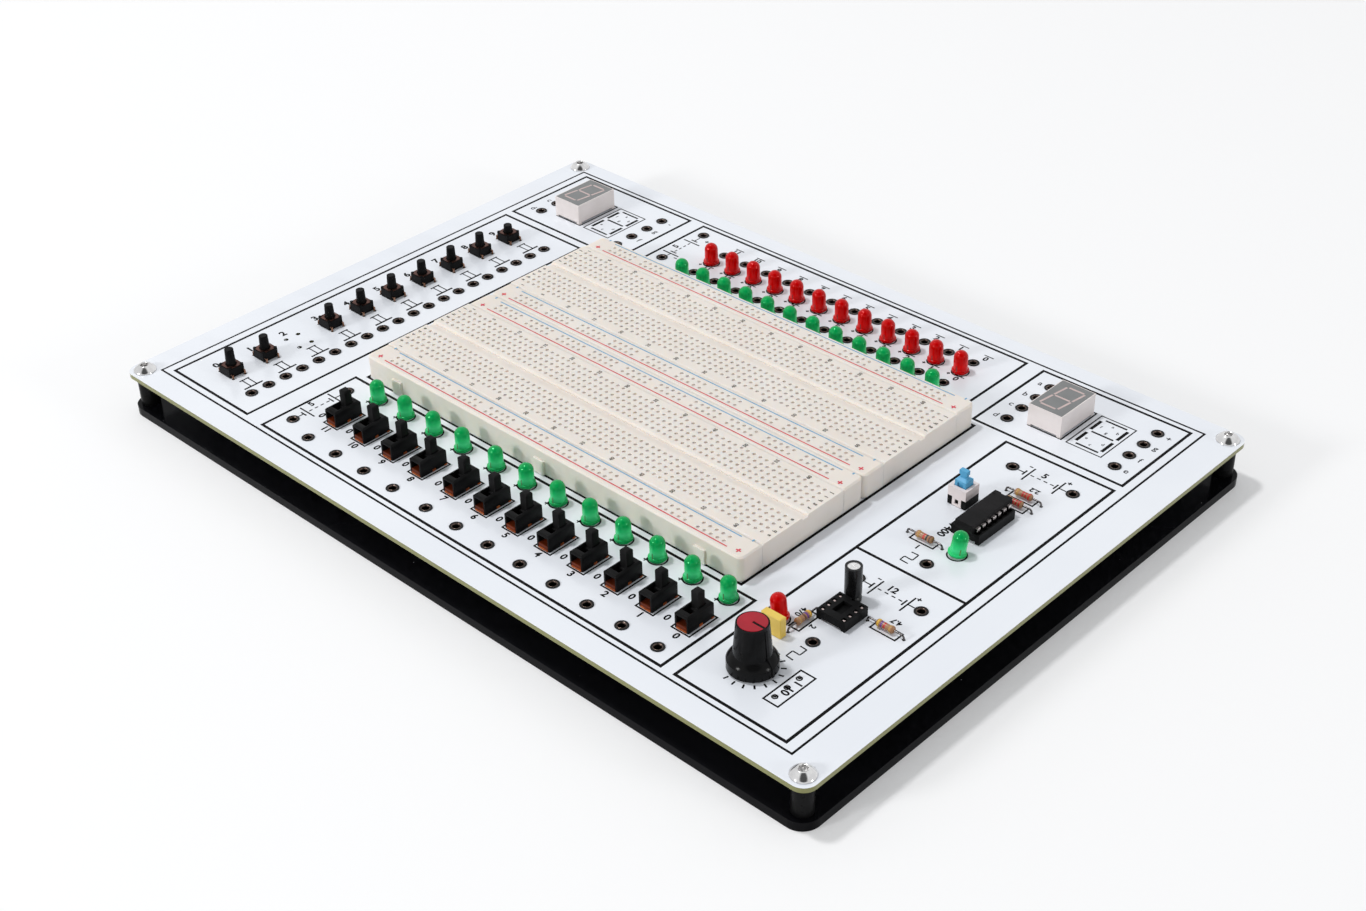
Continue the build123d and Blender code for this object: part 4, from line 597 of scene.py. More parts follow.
DIGIT_LETTERS = [("a", 35.8, 83.5), ("b", 38.9, 81.5), ("f", 32.9, 81.3), ("g", 36.0, 79.1),
                 ("e", 32.9, 73.0), ("c", 35.8, 70.5), ("d", 38.8, 73.3)]


def battery(mesh, spots, across, along_x):
    """A battery symbol at spots along a line: a socket, two plates, dashes, two plates and a socket."""
    first, short_a, long_a, short_b, long_b, last = spots

    def stroke(start, end, side_start, side_end, width):
        points = [(start, across + side_start), (end, across + side_end)]
        ink_bar(mesh, *[point if along_x else point[::-1] for point in points], width)

    for pair, reach in (((short_a, short_b), SHORT_PLATE), ((long_a, long_b), LONG_PLATE)):
        for spot in pair:
            stroke(spot, spot, -reach, reach, THIN_LINE)
    sign = 1 if last > first else -1
    stroke(first + SOCKET_CLEAR * sign, short_a, 0, 0, HAIR_LINE)
    stroke(last - SOCKET_CLEAR * sign, long_b, 0, 0, HAIR_LINE)
    for share in DASH_STARTS:
        start = long_a + (short_b - long_a) * share
        stroke(start, start + DASH * sign, 0, 0, HAIR_LINE)


def plus_mark(mesh, x, y, reach=0.75):
    """A small plus sign of two strokes."""
    ink_bar(mesh, (x - reach, y), (x + reach, y), HAIR_LINE)
    ink_bar(mesh, (x, y - reach), (x, y + reach), HAIR_LINE)


ink = bmesh.new()
ink_frame(ink, *BOARD_FRAME, OUTER_LINE)
for box in SECTION_FRAMES:
    ink_frame(ink, *box, FRAME_LINE)
ink_bar(ink, *CLOCK_FROM_PULSE, FRAME_LINE)

for count, x in enumerate(reversed(SWITCH_X)):
    ink_text(ink, str(count), *moved(SWITCH_NUMBER, x), FIGURE)
    ink_text(ink, "0", *moved(SWITCH_NOUGHT, x), FIGURE)
    plus_mark(ink, *moved(SWITCH_PLUS, x))
    ink_frame(ink, *moved(SWITCH_BOX, x), THIN_LINE)
    ink_ring(ink, x + RING_SHADOW_SLIP, SWITCH_LAMP_Y - RING_SHADOW_SLIP, *LAMP_RING)
for count, y in enumerate(BUTTON_Y):
    ink_text(ink, str(count), *moved(BUTTON_NUMBER, 0, y), BUTTON_FIGURE, 90)
    ink_bars(ink, BUTTON_BARS, 0, y)
for pad in EMPTY_PADS:
    ink_ring(ink, *pad, *EMPTY_PAD_RING)
for count, x in enumerate(reversed(OUTPUT_X)):
    for y in OUTPUT_NUMBER_Y:
        ink_text(ink, str(count), *moved(OUTPUT_NUMBER, x, y), SMALL_FIGURE)
        ink_bars(ink, [OUTPUT_BAR], x, y)
    for y in (OUTPUT_RED_Y, OUTPUT_GREEN_Y):
        ink_ring(ink, x + RING_SHADOW_SLIP, y - RING_SHADOW_SLIP, *OUTPUT_RING)
        plus_mark(ink, *moved(OUTPUT_PLUS, x, y), SMALL_PLUS)

for edge in DISPLAY_EDGE_X:
    ink_frame(ink, *moved(DISPLAY_BOX, edge), THIN_LINE)
    ink_frame(ink, *moved(DIGIT_BOX, edge), HAIR_LINE)
    ink_bars(ink, DIGIT_BARS, edge)
    for letter, x, y in DIGIT_LETTERS:
        ink_text(ink, letter, edge + x, y, SMALL_LETTER, weight=LETTER_WEIGHT)
    sign = "-" if edge < 0 else "+"
    for x, letters in zip(DISPLAY_LETTER_X, ("abcd", sign + "gfe")):
        for y, letter in zip(DISPLAY_LETTER_Y, letters):
            ink_text(ink, letter, edge + x, y, FIGURE, weight=LETTER_WEIGHT)

for plates in BATTERIES:
    battery(ink, *plates)
for mark in PLUSES:
    plus_mark(ink, *mark)
ink_bars(ink, MINUSES)
for figure in FIGURES:
    ink_text(ink, *figure)
for box in PART_BOXES:
    ink_frame(ink, *box, THIN_LINE)
for pad in POT_PADS:
    ink_ring(ink, *pad, *POT_PAD_RING)
for wave in (CLOCK_WAVE, PULSE_WAVE):
    for start, end in zip(wave, wave[1:]):
        ink_bar(ink, start, end, HAIR_LINE)
for angle in TICK_ANGLES:
    ends = [(KNOB_MIDDLE[0] + reach * math.cos(angle), KNOB_MIDDLE[1] + reach * math.sin(angle))
            for reach in TICK_REACH]
    ink_bar(ink, *ends, THIN_LINE)
for lamp in (PULSE_LAMP, CLOCK_LAMP):
    ink_ring(ink, *lamp, *LAMP_RING)
make_piece("panel_print", lay_ink(ink, PANEL_TOP),
           [ink_material("black_ink", (0.003, 0.003, 0.003, 1), (0.007, 0.006, 0.007, 1))])

# ---------------------------------------------------------------- breadboards
# Two solderless breadboards moulded in warm white plastic. Plated spring strips sit under the
# holes, and a thin foam sheet sticks each board to the panel.
PITCH = 2.54
STRIP_TOP = PANEL_TOP + 8.8
BOARD_X = -1.8
COLUMNS = 63
FIRST_COLUMN_X = BOARD_X - (COLUMNS - 1) / 2 * PITCH
LAST_COLUMN_X = BOARD_X + (COLUMNS - 1) / 2 * PITCH
NUMBERED_COLUMNS = [1] + list(range(5, 61, 5))
BOARD_Y = (0.5 - 27.5, 0.5 + 27.5)
ROW_OFFSETS = sorted(0.5 + side * (row + 1.5) * PITCH for side in (-1, 1) for row in range(5))
BUS_HOLES_X = [BOARD_X + ((group - 4.5) * 6 + hole - 2) * PITCH for group in range(10) for hole in range(5)]
BUS_OFFSET = 22.81
LIP_SIZE = 1.2
LIP_DEPTH = 0.5
LIP_THICKNESS = 0.1
RAIL_LINES = ((-3.05, 1, "+"), (3.25, 2, "-"))
RAIL_WIDTH = 0.4
TINY_FIGURE = 1.2
PRINT_SLIP = {(BOARD_Y[0], -1): 0.37, (BOARD_Y[0], 1): -0.33, (BOARD_Y[1], -1): 0.1, (BOARD_Y[1], 1): 0.05}
LINE_ENDS = (-77.5, 74.3)
SIGN_PLACES = (-80.6, 78.0)
SIGN_LIFT = 0.8
LETTERS_CLEAR = 2.7
NUMBERS_OFFSET = 16.2

ivory, tree, shader, place = start_material("ivory_plastic")
tone = two_tone(tree, noise(tree, place, 14, 4), (0.815, 0.755, 0.695, 1), (0.78, 0.715, 0.65, 1), 0.3, 0.7)
tree.links.new(tone, shader.inputs["Base Color"])
tree.links.new(spread(tree, noise(tree, place, 3, 3), 0.42, 0.56), shader.inputs["Roughness"])
shader.inputs["Subsurface Weight"].default_value = 0.5
shader.inputs["Subsurface Radius"].default_value = (1, 0.8, 0.6)
shader.inputs["Subsurface Scale"].default_value = 2.0 * MM
raise_grain(tree, shader, noise(tree, place, 0.35, 2), 0.008, 0.4)
finish_nodes(ivory, "front_terminal_strip", "rear_terminal_strip", "front_bus_strips", "rear_bus_strips")
contact_metal = plated("spring_strip", (0.8, 0.73, 0.7, 1), (0.88, 0.82, 0.79, 1), 0.5)
finish_nodes(contact_metal, "breadboard_clips")
finish_nodes(moulded("foam_sheet", (0.55, 0.55, 0.53, 1), (0.65, 0.65, 0.62, 1), 0.85, 0.4, 0.05),
             "breadboard_backing")

contact_places = []
for board_y in BOARD_Y:
    contact_places += [(FIRST_COLUMN_X + column * PITCH, board_y + offset)
                       for column in range(COLUMNS) for offset in ROW_OFFSETS]
    rails = [board_y + side * BUS_OFFSET + row * PITCH / 2 for side in (-1, 1) for row in (-1, 1)]
    contact_places += [(x, rail) for x in BUS_HOLES_X for rail in rails]
lips = bmesh.new()
bmesh.ops.create_cube(lips, size=MM)
bmesh.ops.scale(lips, vec=(LIP_SIZE, LIP_SIZE, LIP_THICKNESS), verts=lips.verts)
make_piece("spring_lips", copies(lips, [(x, y, STRIP_TOP - LIP_DEPTH) for x, y in contact_places]),
           [plated("lip_metal", (0.62, 0.54, 0.52, 1), (0.74, 0.66, 0.63, 1), 0.5)])

marks = bmesh.new()
for board_y, bus in PRINT_SLIP:
    for side, colour, sign in RAIL_LINES:
        line_y = board_y + bus * BUS_OFFSET + side + PRINT_SLIP[board_y, bus]
        ink_bar(marks, (LINE_ENDS[0], line_y), (LINE_ENDS[1], line_y), RAIL_WIDTH, colour)
        for sign_x in SIGN_PLACES:
            ink_text(marks, sign, sign_x, line_y + SIGN_LIFT, SMALL_FIGURE, 90, colour)
for board_y in BOARD_Y:
    for offset, letter in zip(ROW_OFFSETS, "abcdefghij"):
        for letter_x in (FIRST_COLUMN_X - LETTERS_CLEAR, LAST_COLUMN_X + LETTERS_CLEAR):
            ink_text(marks, letter, letter_x, board_y + offset, SMALL_LETTER, 90)
    for number in NUMBERED_COLUMNS:
        number_x = FIRST_COLUMN_X + (number - 1) * PITCH
        for side in (-1, 1):
            ink_text(marks, str(number), number_x, board_y + side * NUMBERS_OFFSET, TINY_FIGURE, 90)
make_piece("breadboard_print", lay_ink(marks, STRIP_TOP),
           [ink_material("grey_ink", (0.13, 0.12, 0.1, 1), (0.3, 0.28, 0.25, 1)),
            ink_material("red_ink", (0.62, 0.05, 0.08, 1), (0.75, 0.16, 0.17, 1)),
            ink_material("blue_ink", (0.17, 0.37, 0.56, 1), (0.26, 0.46, 0.63, 1))])

# ---------------------------------------------------------------- patch sockets
# A turned, plated sleeve in a black plastic collar, pressed through the panel. A jumper's pin
# goes into the bore.
SOCKET_PLACES = [(x, -90.3) for x in SWITCH_X] + [(-83.25, -87.0), (-83.25, -64.6)]
SOCKET_PLACES += [(-106.15, y + side * 3.465) for y in BUTTON_Y for side in (-1, 1)]
SOCKET_PLACES += [(x, y) for x in OUTPUT_X for y in (85.6, 69.2)] + [(-69.35, 91.8), (-69.35, 69.65)]
for edge in DISPLAY_EDGE_X:
    SOCKET_PLACES += [(edge + reach, 89.8 - 8.03 * i) for reach in (7.8, 48.1) for i in range(4)]
SOCKET_PLACES += [(104.0, 44.85), (126.0, 44.85), (104.3, -30.0), (126.85, -30.0)]
SOCKET_PLACES += [(114.7, -11.8), (113.2, -60.4)]
SOCKET_TOP = PANEL_TOP + 0.25
COLLAR_PROFILE = [(1.5, -7.75), (1.85, -7.75), (1.85, -0.25), (2.08, -0.25), (2.14, -0.19), (2.15, -0.1),
                  (2.11, -0.03), (2.02, 0), (1.56, 0), (1.52, -0.03), (1.5, -0.1), (1.5, -7.75)]
SLEEVE_PROFILE = [(0, -8.0), (1.4, -8.0), (1.5, -7.9), (1.5, -0.14), (1.46, -0.06), (1.38, -0.03),
                  (1.3, -0.06), (1.17, -0.22)]
BORE_PROFILE = [(1.17, -0.22), (1.08, -0.36), (1.05, -0.5), (1.05, -7.5), (0, -7.6)]
SOCKET_STEPS = 28

collar = bmesh.new()
lathe(collar, COLLAR_PROFILE, SOCKET_STEPS)
socket_seats = [(x, y, SOCKET_TOP) for x, y in SOCKET_PLACES]
make_piece("socket_collars", copies(collar, socket_seats),
           [black_plastic("socket_black", 0.2, 0.5, 0.006, 0.2)],
           replaced=["patch_socket_collars"])
sleeve = bmesh.new()
lathe(sleeve, SLEEVE_PROFILE, SOCKET_STEPS)
lathe(sleeve, BORE_PROFILE, SOCKET_STEPS, 1)
bmesh.ops.remove_doubles(sleeve, verts=sleeve.verts, dist=0.001 * MM)
socket_plate = plated("socket_plate", (0.075, 0.052, 0.043, 1), (0.165, 0.122, 0.102, 1), 0.3, 1.0)
# The bore is painted near black: painted shade down inside the sleeve, which is the same plated metal.
socket_bore_shade = plated("socket_bore_shade", (0.012, 0.009, 0.008, 1), (0.03, 0.022, 0.02, 1), 0.4, 1.0)
make_piece("socket_sleeves", copies(sleeve, socket_seats), [socket_plate, socket_bore_shade],
           replaced=["patch_socket_sleeves"])

# ---------------------------------------------------------------- lamps
# Five-millimetre lamps cast in tinted, cloudy epoxy, with a flange and a flat at the foot. A dark
# streak low in the lens is where a leg of the lead frame shows through.
LENS_RADIUS = 2.4
DOME_FOOT = 5.4
DOME_STEPS = 10
LENS_PROFILE = [(0, 0.02), (2.55, 0), (2.82, 0.06), (2.9, 0.2), (2.9, 0.82), (2.84, 0.96), (2.7, 1.0),
                (2.52, 1.02), (2.43, 1.1), (LENS_RADIUS, 1.3), (LENS_RADIUS, 3.0), (LENS_RADIUS, DOME_FOOT)]
for step in range(1, DOME_STEPS):
    rise = step * math.pi / (2 * DOME_STEPS)
    LENS_PROFILE += [(LENS_RADIUS * math.cos(rise), DOME_FOOT + LENS_RADIUS * math.sin(rise))]
LENS_PROFILE += [(0, DOME_FOOT + LENS_RADIUS)]
LENS_STEPS = 40
LENS_FLAT = 2.55
FLANGE_RADIUS = 2.9
FLANGE_TOP = 1.01
LEG_SEEN = (-90, -80)
LEG_HEIGHT = (1.05, 3.0)
LAMP_HEIGHT = 8
SEAT = PANEL_TOP + 0.2


def lean(x, y, tip, toward):
    """The place of a lamp that leans by an angle toward a direction in degrees."""
    lift = FLANGE_RADIUS * math.sin(math.radians(tip))
    turn = Matrix.Rotation(math.radians(toward), 4, "Z") @ Matrix.Rotation(math.radians(tip), 4, "Y")
    return Matrix.Translation((x * MM, y * MM, (SEAT + lift) * MM)) @ turn


def epoxy(name, clear, deep_shade, painted_glow):
    """Tinted epoxy with light passing inside it: painted shade deeper in the dome, a painted glow round the
    lead frame.
    """
    made, tree, shader, place = start_material(name)
    band = tree.nodes.new("ShaderNodeValToRGB")
    lamp_low, lamp_high = SEAT * MM, (SEAT + LAMP_HEIGHT) * MM
    band.color_ramp.elements[0].color = clear
    band.color_ramp.elements[1].color = deep_shade
    # Painted shade at the flange's top and in the dome, and painted light round the lead frame, up the lamp's
    # height.
    for position, colour in ((0.1, deep_shade), (0.15, clear), (0.36, painted_glow), (0.54, clear), (0.8, deep_shade)):
        band.color_ramp.elements.new(position).color = colour
    tree.links.new(spread(tree, axis_of(tree, place, "Z"), 0, 1, lamp_low, lamp_high), band.inputs["Fac"])
    cloud = spread(tree, noise(tree, place, 1.2, 3), 0, 0.35)
    tree.links.new(mixed(tree, cloud, band.outputs["Color"], (0.75, 0.75, 0.75, 1), "MULTIPLY"),
                   shader.inputs["Base Color"])
    tree.links.new(spread(tree, noise(tree, place, 0.8, 2), 0.05, 0.12), shader.inputs["Roughness"])
    shader.inputs["Specular IOR Level"].default_value = 0.55
    tint = [0.18 + 0.82 * channel / max(clear[:3]) for channel in clear[:3]]
    shader.inputs["Specular Tint"].default_value = (*tint, 1)
    shader.inputs["Subsurface Weight"].default_value = 0.35
    shader.inputs["Subsurface Radius"].default_value = tuple(0.3 + channel for channel in clear[:3])
    shader.inputs["Subsurface Scale"].default_value = 1.6 * MM
    return made


def lens_shape():
    """The cast body of one lamp, with the flat cut on one side of its flange."""
    shape = bmesh.new()
    lathe(shape, LENS_PROFILE, LENS_STEPS)
    for face in shape.faces:
        middle = face.calc_center_median() / MM
        azimuth = math.degrees(math.atan2(middle.y, middle.x))
        if LEG_HEIGHT[0] < middle.z < LEG_HEIGHT[1] and LEG_SEEN[0] < azimuth < LEG_SEEN[1]:
            face.material_index = 1
    for vert in shape.verts:
        if vert.co.z < FLANGE_TOP * MM:
            vert.co.x = min(vert.co.x, LENS_FLAT * MM)
    return shape


green = epoxy("green_epoxy", (0.02, 0.62, 0.185, 1), (0.001, 0.34, 0.08, 1), (0.06, 0.72, 0.27, 1))
red = epoxy("red_epoxy", (0.66, 0.0005, 0.001, 1), (0.54, 0.0005, 0.001, 1), (0.74, 0.002, 0.002, 1))
green_leg = moulded("green_leg_tint", (0.035, 0.17, 0.02, 1), (0.06, 0.26, 0.05, 1), 0.1)
red_leg = moulded("red_leg_tint", (0.28, 0.002, 0.003, 1), (0.2, 0.004, 0.003, 1), 0.1)
green_places = [(x, SWITCH_LAMP_Y, SEAT) for x in SWITCH_X] + [(x, OUTPUT_GREEN_Y, SEAT) for x in OUTPUT_X]
make_piece("green_lamps", copies(lens_shape(), green_places + [lean(*PULSE_LAMP, 8, 45)]), [green, green_leg],
           replaced=["green_leds"])
red_places = [(x, OUTPUT_RED_Y, SEAT) for x in OUTPUT_X]
make_piece("red_lamps", copies(lens_shape(), red_places + [lean(*CLOCK_LAMP, 10, 160)]), [red, red_leg],
           replaced=["red_leds"])

# ---------------------------------------------------------------- slide switches
# Black moulded shells with softly broken edges, clipped over an orange-brown phenolic wafer whose
# cut edges show in the windows. The slider's square knob stands at the rear of its slot.
SWITCH_Y = -75.65
TAB_PLACES = [(2.32, 0, 0.42), (2.6, 4.55, 0.24), (0, -5.24, 0.3)]
TAB_SIZES = [(0.6, 1.3, 0.8), (0.4, 1.1, 0.44), (3.9, 0.3, 0.56)]
TAB_BEVEL = 0.08
SHELL_ROUND = 0.14
SLIDER_ROUND = 0.12
FLAT_ANGLE = math.radians(1)
CREASE_ANGLE = math.radians(28)


def bevelled_block(mesh, size, bevel, middle=(0, 0, 0)):
    """A block of a size in millimetres with bevelled edges, round a middle."""
    corners = bmesh.ops.create_cube(mesh, size=MM)["verts"]
    bmesh.ops.scale(mesh, vec=size, verts=corners)
    bmesh.ops.translate(mesh, vec=Vector(middle) * MM, verts=corners)
    edges = [edge for edge in mesh.edges if edge.verts[0] in corners]
    bmesh.ops.bevel(mesh, geom=edges, offset=bevel * MM, segments=2, affect="EDGES", profile=0.6)


def broken_edges(node_name, width, material, body="trainer"):
    """Puts in place of a moulded solid one with its sharp edges rounded by a width in millimetres."""
    shape = bmesh.new()
    shape.from_mesh(nodes[node_name].data)
    bmesh.ops.remove_doubles(shape, verts=shape.verts, dist=0.002 * MM)
    bmesh.ops.dissolve_limit(shape, angle_limit=FLAT_ANGLE, verts=shape.verts, edges=shape.edges)
    sharp = [edge for edge in shape.edges
             if len(edge.link_faces) == 2 and edge.calc_face_angle(0) > CREASE_ANGLE]
    bmesh.ops.bevel(shape, geom=sharp, offset=width * MM, segments=2, affect="EDGES", profile=0.5,
                    clamp_overlap=True)
    bmesh.ops.triangulate(shape, faces=[face for face in shape.faces if len(face.verts) > 4])
    make_piece(node_name + "_moulding", shape, [material], body, replaced=[node_name])


switch_black = black_plastic("switch_black", 0.38, 0.25, 0.012)
broken_edges("slide_switch_housings", SHELL_ROUND, switch_black)
# The wafer is painted much darker than its edge tabs in the windows: painted shade under the shell.
finish_nodes(moulded("wafer_brown_shade", (0.15, 0.022, 0.003, 1), (0.08, 0.012, 0.002, 1), 0.4, 0.6, 0.01, 0.2),
             "slide_switch_wafers")
tab_mesh = bmesh.new()
for tab_place, tab_size in zip(TAB_PLACES, TAB_SIZES):
    bevelled_block(tab_mesh, tab_size, TAB_BEVEL, tab_place)
wafer_orange = moulded("wafer_orange", (0.5, 0.12, 0.02, 1), (0.24, 0.05, 0.01, 1), 0.4, 0.5, 0.02, 0.3,
                       cloud=1.5)
tab_seats = [(x, SWITCH_Y, PANEL_TOP) for x in SWITCH_X]
make_piece("wafer_tabs", copies(tab_mesh, tab_seats), [wafer_orange])
slider_black = black_plastic("slider_black", 0.42, 0.25, 0.012, 0.07)
for i in range(len(SWITCH_X)):
    broken_edges("slider_%d" % i, SLIDER_ROUND, slider_black, "switch_%d" % i)

# ---------------------------------------------------------------- push buttons
# Six-millimetre tactile switches: a black body with four corner pegs, a dark copper cover riveted
# over it and a tall round plunger in the middle.
EMPTY_BUTTON = 2

finish_nodes(black_plastic("button_black", 0.42), "push_button_housings")
finish_nodes(plated("button_copper", (0.07, 0.03, 0.024, 1), (0.13, 0.06, 0.045, 1), 0.34),
             "push_button_covers")
finish_nodes(black_plastic("plunger_black", 0.36),
             *["plunger_%d" % i for i in range(len(BUTTON_Y)) if i != EMPTY_BUTTON])

# ---------------------------------------------------------------- displays
# Seven-segment displays: a white shell on four small feet, a grey tinted face, and seven pale
# diffuser bars that show through it.
DIGIT_MIDDLE_Y = 76.5
DIGIT_FROM_EDGE = 20.7
DIGIT_COLUMN = 3.38
DIGIT_ROW = 3.28
DIGIT_SLANT = math.tan(math.radians(8))
CORE_WIDTH = 0.72
ROW_END = 0.62
COLUMN_END = 0.34

finish_nodes(moulded("display_white", (0.83, 0.765, 0.745, 1), (0.79, 0.72, 0.70, 1), 0.4, 0.3, 0.008),
             "display_housings")
finish_nodes(moulded("display_grey", (0.185, 0.19, 0.19, 1), (0.21, 0.215, 0.215, 1), 0.36, 0.3, 0.006, 0.3),
             "display_faces", "display_segments")
cores = bmesh.new()
for edge in DISPLAY_EDGE_X:
    digit_x = edge + DIGIT_FROM_EDGE
    for level in (-1, 0, 1):
        bar_x = digit_x + 2 * DIGIT_SLANT * DIGIT_ROW * level
        bar_y = DIGIT_MIDDLE_Y + 2 * DIGIT_ROW * level
        reach = DIGIT_COLUMN - ROW_END
        ink_bar(cores, (bar_x - reach, bar_y), (bar_x + reach, bar_y), CORE_WIDTH)
        if level == 0:
            continue
        for side in (-1, 1):
            ends = [level * COLUMN_END, level * (2 * DIGIT_ROW - COLUMN_END)]
            low, high = [(digit_x + side * DIGIT_COLUMN + DIGIT_SLANT * y, DIGIT_MIDDLE_Y + y) for y in ends]
            ink_bar(cores, low, high, CORE_WIDTH)
make_piece("display_cores", lay_ink(cores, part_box("display_faces")[1].z / MM),
           [moulded("display_pale", (0.6, 0.47, 0.45, 1), (0.52, 0.4, 0.385, 1), 0.4, 0.3, 0.006)])

# ---------------------------------------------------------------- pulse section
# A locking push switch with a white shell on a black base and a blue actuator, beside a 14-pin
# chip in its socket.
LEG_SLOT_SHADE = (0.04, 0.03, 0.028, 1)
SHADED_DROP = 1.1
LIT_DROP = 0.45

finish_nodes(moulded("switch_white", (0.8, 0.72, 0.71, 1), (0.75, 0.67, 0.66, 1), 0.42, 0.3, 0.01),
             "pulse_switch_housing")
finish_nodes(black_plastic("switch_base_black", 0.4), "pulse_switch_base")
finish_nodes(moulded("switch_blue", (0.085, 0.38, 0.63, 1), (0.065, 0.33, 0.57, 1), 0.42, 0.3, 0.01),
             "pulse_button")
chip_black = moulded("chip_black", (0.006, 0.0057, 0.006, 1), (0.011, 0.0098, 0.0105, 1), 0.5, 0.12, 0.02,
                     0.08)
finish_nodes(chip_black, "pulse_chip")
finish_nodes(black_plastic("holder_black", 0.36), "chip_sockets")
# The legs are painted dark below their shoulders: painted shade where they go down into the socket's slots.
chip_tin = plated("chip_tin", (0.75, 0.67, 0.65, 1), (0.85, 0.78, 0.75, 1), 0.3, 1.0)
tree = chip_tin.node_tree
shader = tree.nodes["Principled BSDF"]
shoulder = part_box("chip_legs")[1].z
leg_height = axis_of(tree, tree.nodes["Texture Coordinate"].outputs["Object"], "Z")
out_of_slot_shade = spread(tree, leg_height, 0, 1, shoulder - SHADED_DROP * MM, shoulder - LIT_DROP * MM)
tin_colour = shader.inputs["Base Color"].links[0].from_socket
tree.links.new(mixed(tree, out_of_slot_shade, LEG_SLOT_SHADE, tin_colour), shader.inputs["Base Color"])
finish_nodes(chip_tin, "chip_legs")

# ---------------------------------------------------------------- empty chip socket
# The eight-pin socket holds no chip, so the folded spring contact in each well shows. A black block
# under its open window is a painted shadow: it stands in for the shade seen through the frame.
SOCKET_MIDDLE = (112.0, -46.5)
SOCKET_ROW = 7.62
CONTACT_DROP = 0.3
CONTACT_SIZE = (0.8, 0.62, 0.5)
CONTACT_BEVEL = 0.12
SHADE_BLOCK_SIZE = (3.3, 6.0, 0.9)
SHADE_BLOCK_BEVEL = 0.2
SHADE_BLOCK_MIDDLE = PANEL_TOP + 1.6

socket_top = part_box("chip_sockets")[1].z / MM
contact = bmesh.new()
bevelled_block(contact, CONTACT_SIZE, CONTACT_BEVEL)
contact_rows = [(SOCKET_MIDDLE[0] + side * SOCKET_ROW / 2, SOCKET_MIDDLE[1] + (pin - 1.5) * PITCH,
                 socket_top - CONTACT_DROP - CONTACT_SIZE[2] / 2) for side in (-1, 1) for pin in range(4)]
make_piece("socket_contacts", copies(contact, contact_rows),
           [plated("contact_tin", (0.5, 0.39, 0.37, 1), (0.68, 0.56, 0.54, 1), 0.3, 1.0)])
# A painted shadow: a black block where the open frame shows only shade.
shade_block = bmesh.new()
bevelled_block(shade_block, SHADE_BLOCK_SIZE, SHADE_BLOCK_BEVEL, (*SOCKET_MIDDLE, SHADE_BLOCK_MIDDLE))
make_piece("socket_window_shade", shade_block, [black_plastic("window_shade_black", 0.4)])

# ---------------------------------------------------------------- leads
# Tinned wire legs, bent down and soldered through the panel. The push buttons' legs are dull
# stamped copper.
BUTTONS_END_X = -112.0
wire, tree, shader, place = start_material("tinned_wire")
shader.inputs["Metallic"].default_value = 1
beyond_buttons = worked_out(tree, "GREATER_THAN", axis_of(tree, place, "X"), BUTTONS_END_X * MM)
wire_cloud = noise(tree, place, 1.0, 3)
copper = two_tone(tree, wire_cloud, (0.16, 0.07, 0.04, 1), (0.36, 0.2, 0.13, 1))
# The tin is painted near black: painted shade where the legs run down beside and under the parts.
shaded_tin = two_tone(tree, wire_cloud, (0.07, 0.065, 0.065, 1), (0.15, 0.14, 0.14, 1))
tree.links.new(mixed(tree, beyond_buttons, copper, shaded_tin), shader.inputs["Base Color"])
tree.links.new(spread(tree, wire_cloud, 0.2, 0.36), shader.inputs["Roughness"])
finish_nodes(wire, "component_leads")

# ---------------------------------------------------------------- resistors
# Quarter-watt resistors dipped in tan lacquer. Three bands give the value and a gold one the
# tolerance.
BAND_COLOURS = {"black": (0.012, 0.012, 0.012, 1), "brown": (0.11, 0.035, 0.012, 1),
                "red": (0.5, 0.012, 0.01, 1), "yellow": (0.72, 0.42, 0.03, 1),
                "violet": (0.13, 0.03, 0.24, 1), "gold": (0.45, 0.26, 0.07, 1)}
LACQUER = (0.34, 0.165, 0.072, 1)
RESISTORS = [("resistor_1k", (107.3, -3.2), 180, ("brown", "black", "red", "gold")),
             ("resistor_2k2_rear", (116.3, 33.3), 180, ("red", "red", "red", "gold")),
             ("resistor_2k2_front", (116.3, 28.4), 180, ("red", "red", "red", "gold")),
             ("resistor_4k7", (124.6, -43.0), 0, ("yellow", "violet", "red", "gold")),
             ("resistor_470", (105.35, -55.3), -90, ("yellow", "violet", "brown", "gold"))]
HALF_PROFILE = [(1.2, 0.98), (1.6, 1.02), (1.95, 1.14), (2.25, 1.18), (2.6, 1.1), (2.9, 0.85), (3.1, 0.45),
                (3.15, 0)]
RESISTOR_PROFILE = [(-reach, radius) for reach, radius in reversed(HALF_PROFILE)] + HALF_PROFILE
BAND_PLACES = (-2.15, -1.05, -0.05, 1.85)
BAND_HALF = 0.3
BANDED_HALF = 3.2
RESISTOR_STEPS = 28
RESISTOR_MIDDLE = SEAT + 1.2

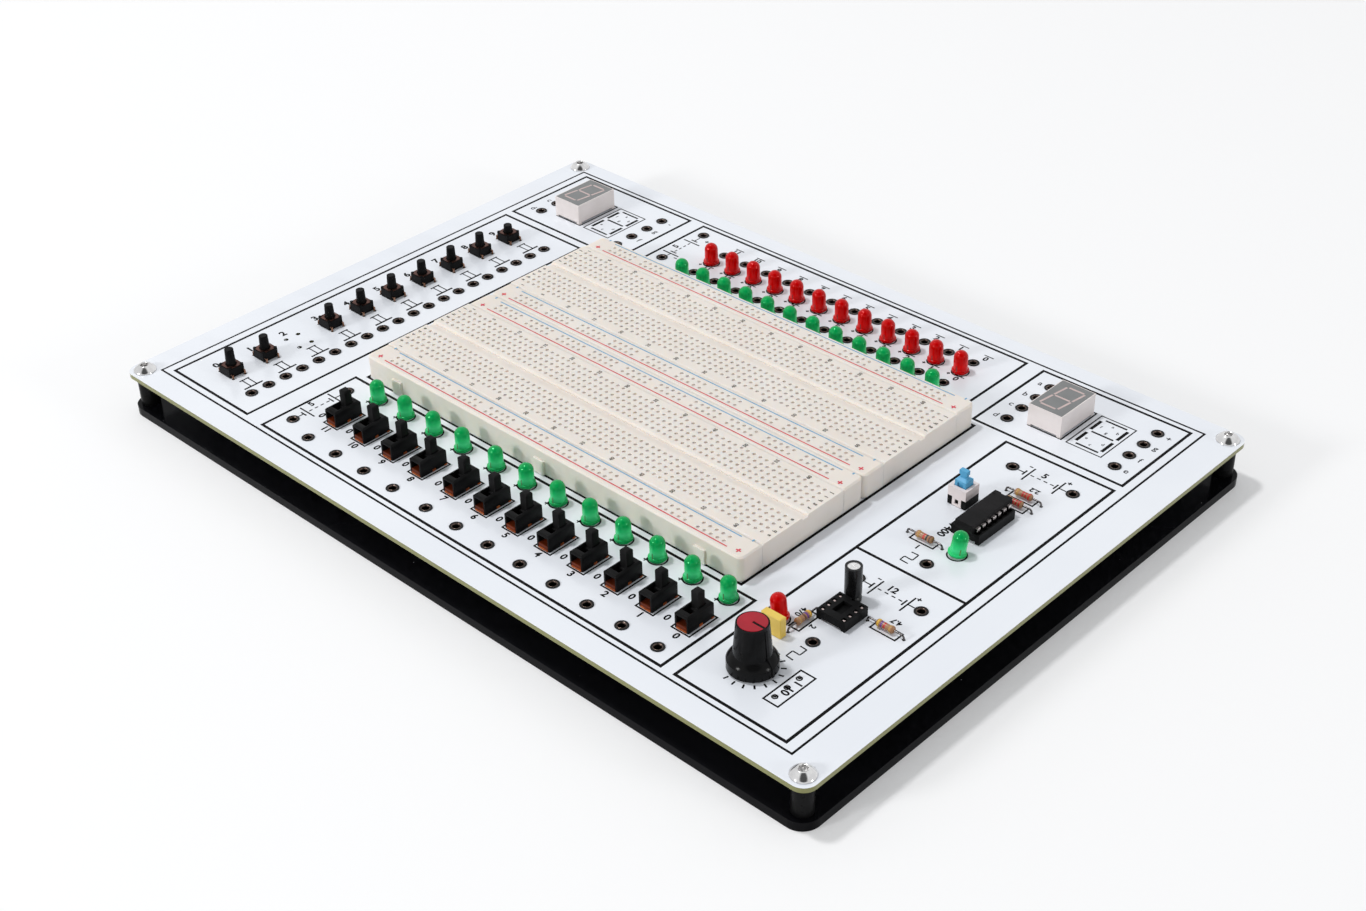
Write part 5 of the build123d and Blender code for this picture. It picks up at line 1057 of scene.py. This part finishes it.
for name, (x, y), turn, bands in RESISTORS:
    lacquer, tree, shader, place = start_material(name + "_lacquer")
    along = axis_of(tree, place, "X")
    ramp = tree.nodes.new("ShaderNodeValToRGB")
    ramp.color_ramp.interpolation = "CONSTANT"
    stops = [(0.0, LACQUER)]
    for middle, band in zip(BAND_PLACES, bands):
        stops += [((middle - BAND_HALF + BANDED_HALF) / (2 * BANDED_HALF), BAND_COLOURS[band]),
                  ((middle + BAND_HALF + BANDED_HALF) / (2 * BANDED_HALF), LACQUER)]
    for index, (position, colour) in enumerate(stops):
        element = ramp.color_ramp.elements[0] if index == 0 else ramp.color_ramp.elements.new(position)
        element.position, element.color = position, colour
    ramp.color_ramp.elements.remove(ramp.color_ramp.elements[-1])
    tree.links.new(spread(tree, along, 0, 1, -BANDED_HALF * MM, BANDED_HALF * MM), ramp.inputs["Fac"])
    tree.links.new(ramp.outputs["Color"], shader.inputs["Base Color"])
    tree.links.new(spread(tree, noise(tree, place, 0.8, 3), 0.28, 0.42), shader.inputs["Roughness"])
    raise_grain(tree, shader, noise(tree, place, 0.5, 3), 0.03, 0.5)
    body_mesh = bmesh.new()
    lathe(body_mesh, [(radius, reach) for reach, radius in RESISTOR_PROFILE], RESISTOR_STEPS)
    bmesh.ops.rotate(body_mesh, verts=body_mesh.verts, matrix=Matrix.Rotation(math.pi / 2, 3, "Y"))
    piece = make_piece(name, body_mesh, [lacquer], replaced=["resistors"])
    seat = Matrix.Translation((x * MM, y * MM, RESISTOR_MIDDLE * MM))
    piece.matrix_world = seat @ Matrix.Rotation(math.radians(turn), 4, "Z")

# ---------------------------------------------------------------- capacitors
# An upright electrolytic in a shrunk black sleeve with its aluminium top showing, and a film
# capacitor in a yellow moulded case.
finish_nodes(black_plastic("sleeve_black", 0.2, 0.6, 0.01, 0.3), "capacitor_sleeve")
finish_nodes(plated("can_aluminium", (0.7, 0.69, 0.68, 1), (0.8, 0.79, 0.78, 1), 0.3), "capacitor_can")
finish_nodes(moulded("film_yellow", (0.80, 0.57, 0.10, 1), (0.74, 0.51, 0.08, 1), 0.38, 0.4, 0.01),
             "film_capacitor")

# ---------------------------------------------------------------- clock knob and potentiometer
# A black moulded knob with a red cap, pushed on the plastic shaft of a panel potentiometer. The
# pot's plated case hangs under the panel, held by a nut that the knob hides.
finish_nodes(black_plastic("knob_black", 0.17, 0.5, 0.006, 0.08), "clock_knob")
finish_nodes(moulded("knob_red", (0.39, 0.006, 0.02, 1), (0.33, 0.004, 0.016, 1), 0.42, 0.3, 0.01, 0.3),
             "clock_knob_cap")
finish_nodes(moulded("shaft_plastic", (0.6, 0.6, 0.56, 1), (0.5, 0.5, 0.47, 1), 0.45), "pot_shaft")
finish_nodes(plated("pot_case", (0.5, 0.5, 0.48, 1), (0.62, 0.61, 0.58, 1), 0.3), "potentiometer_body",
             "potentiometer_nut")
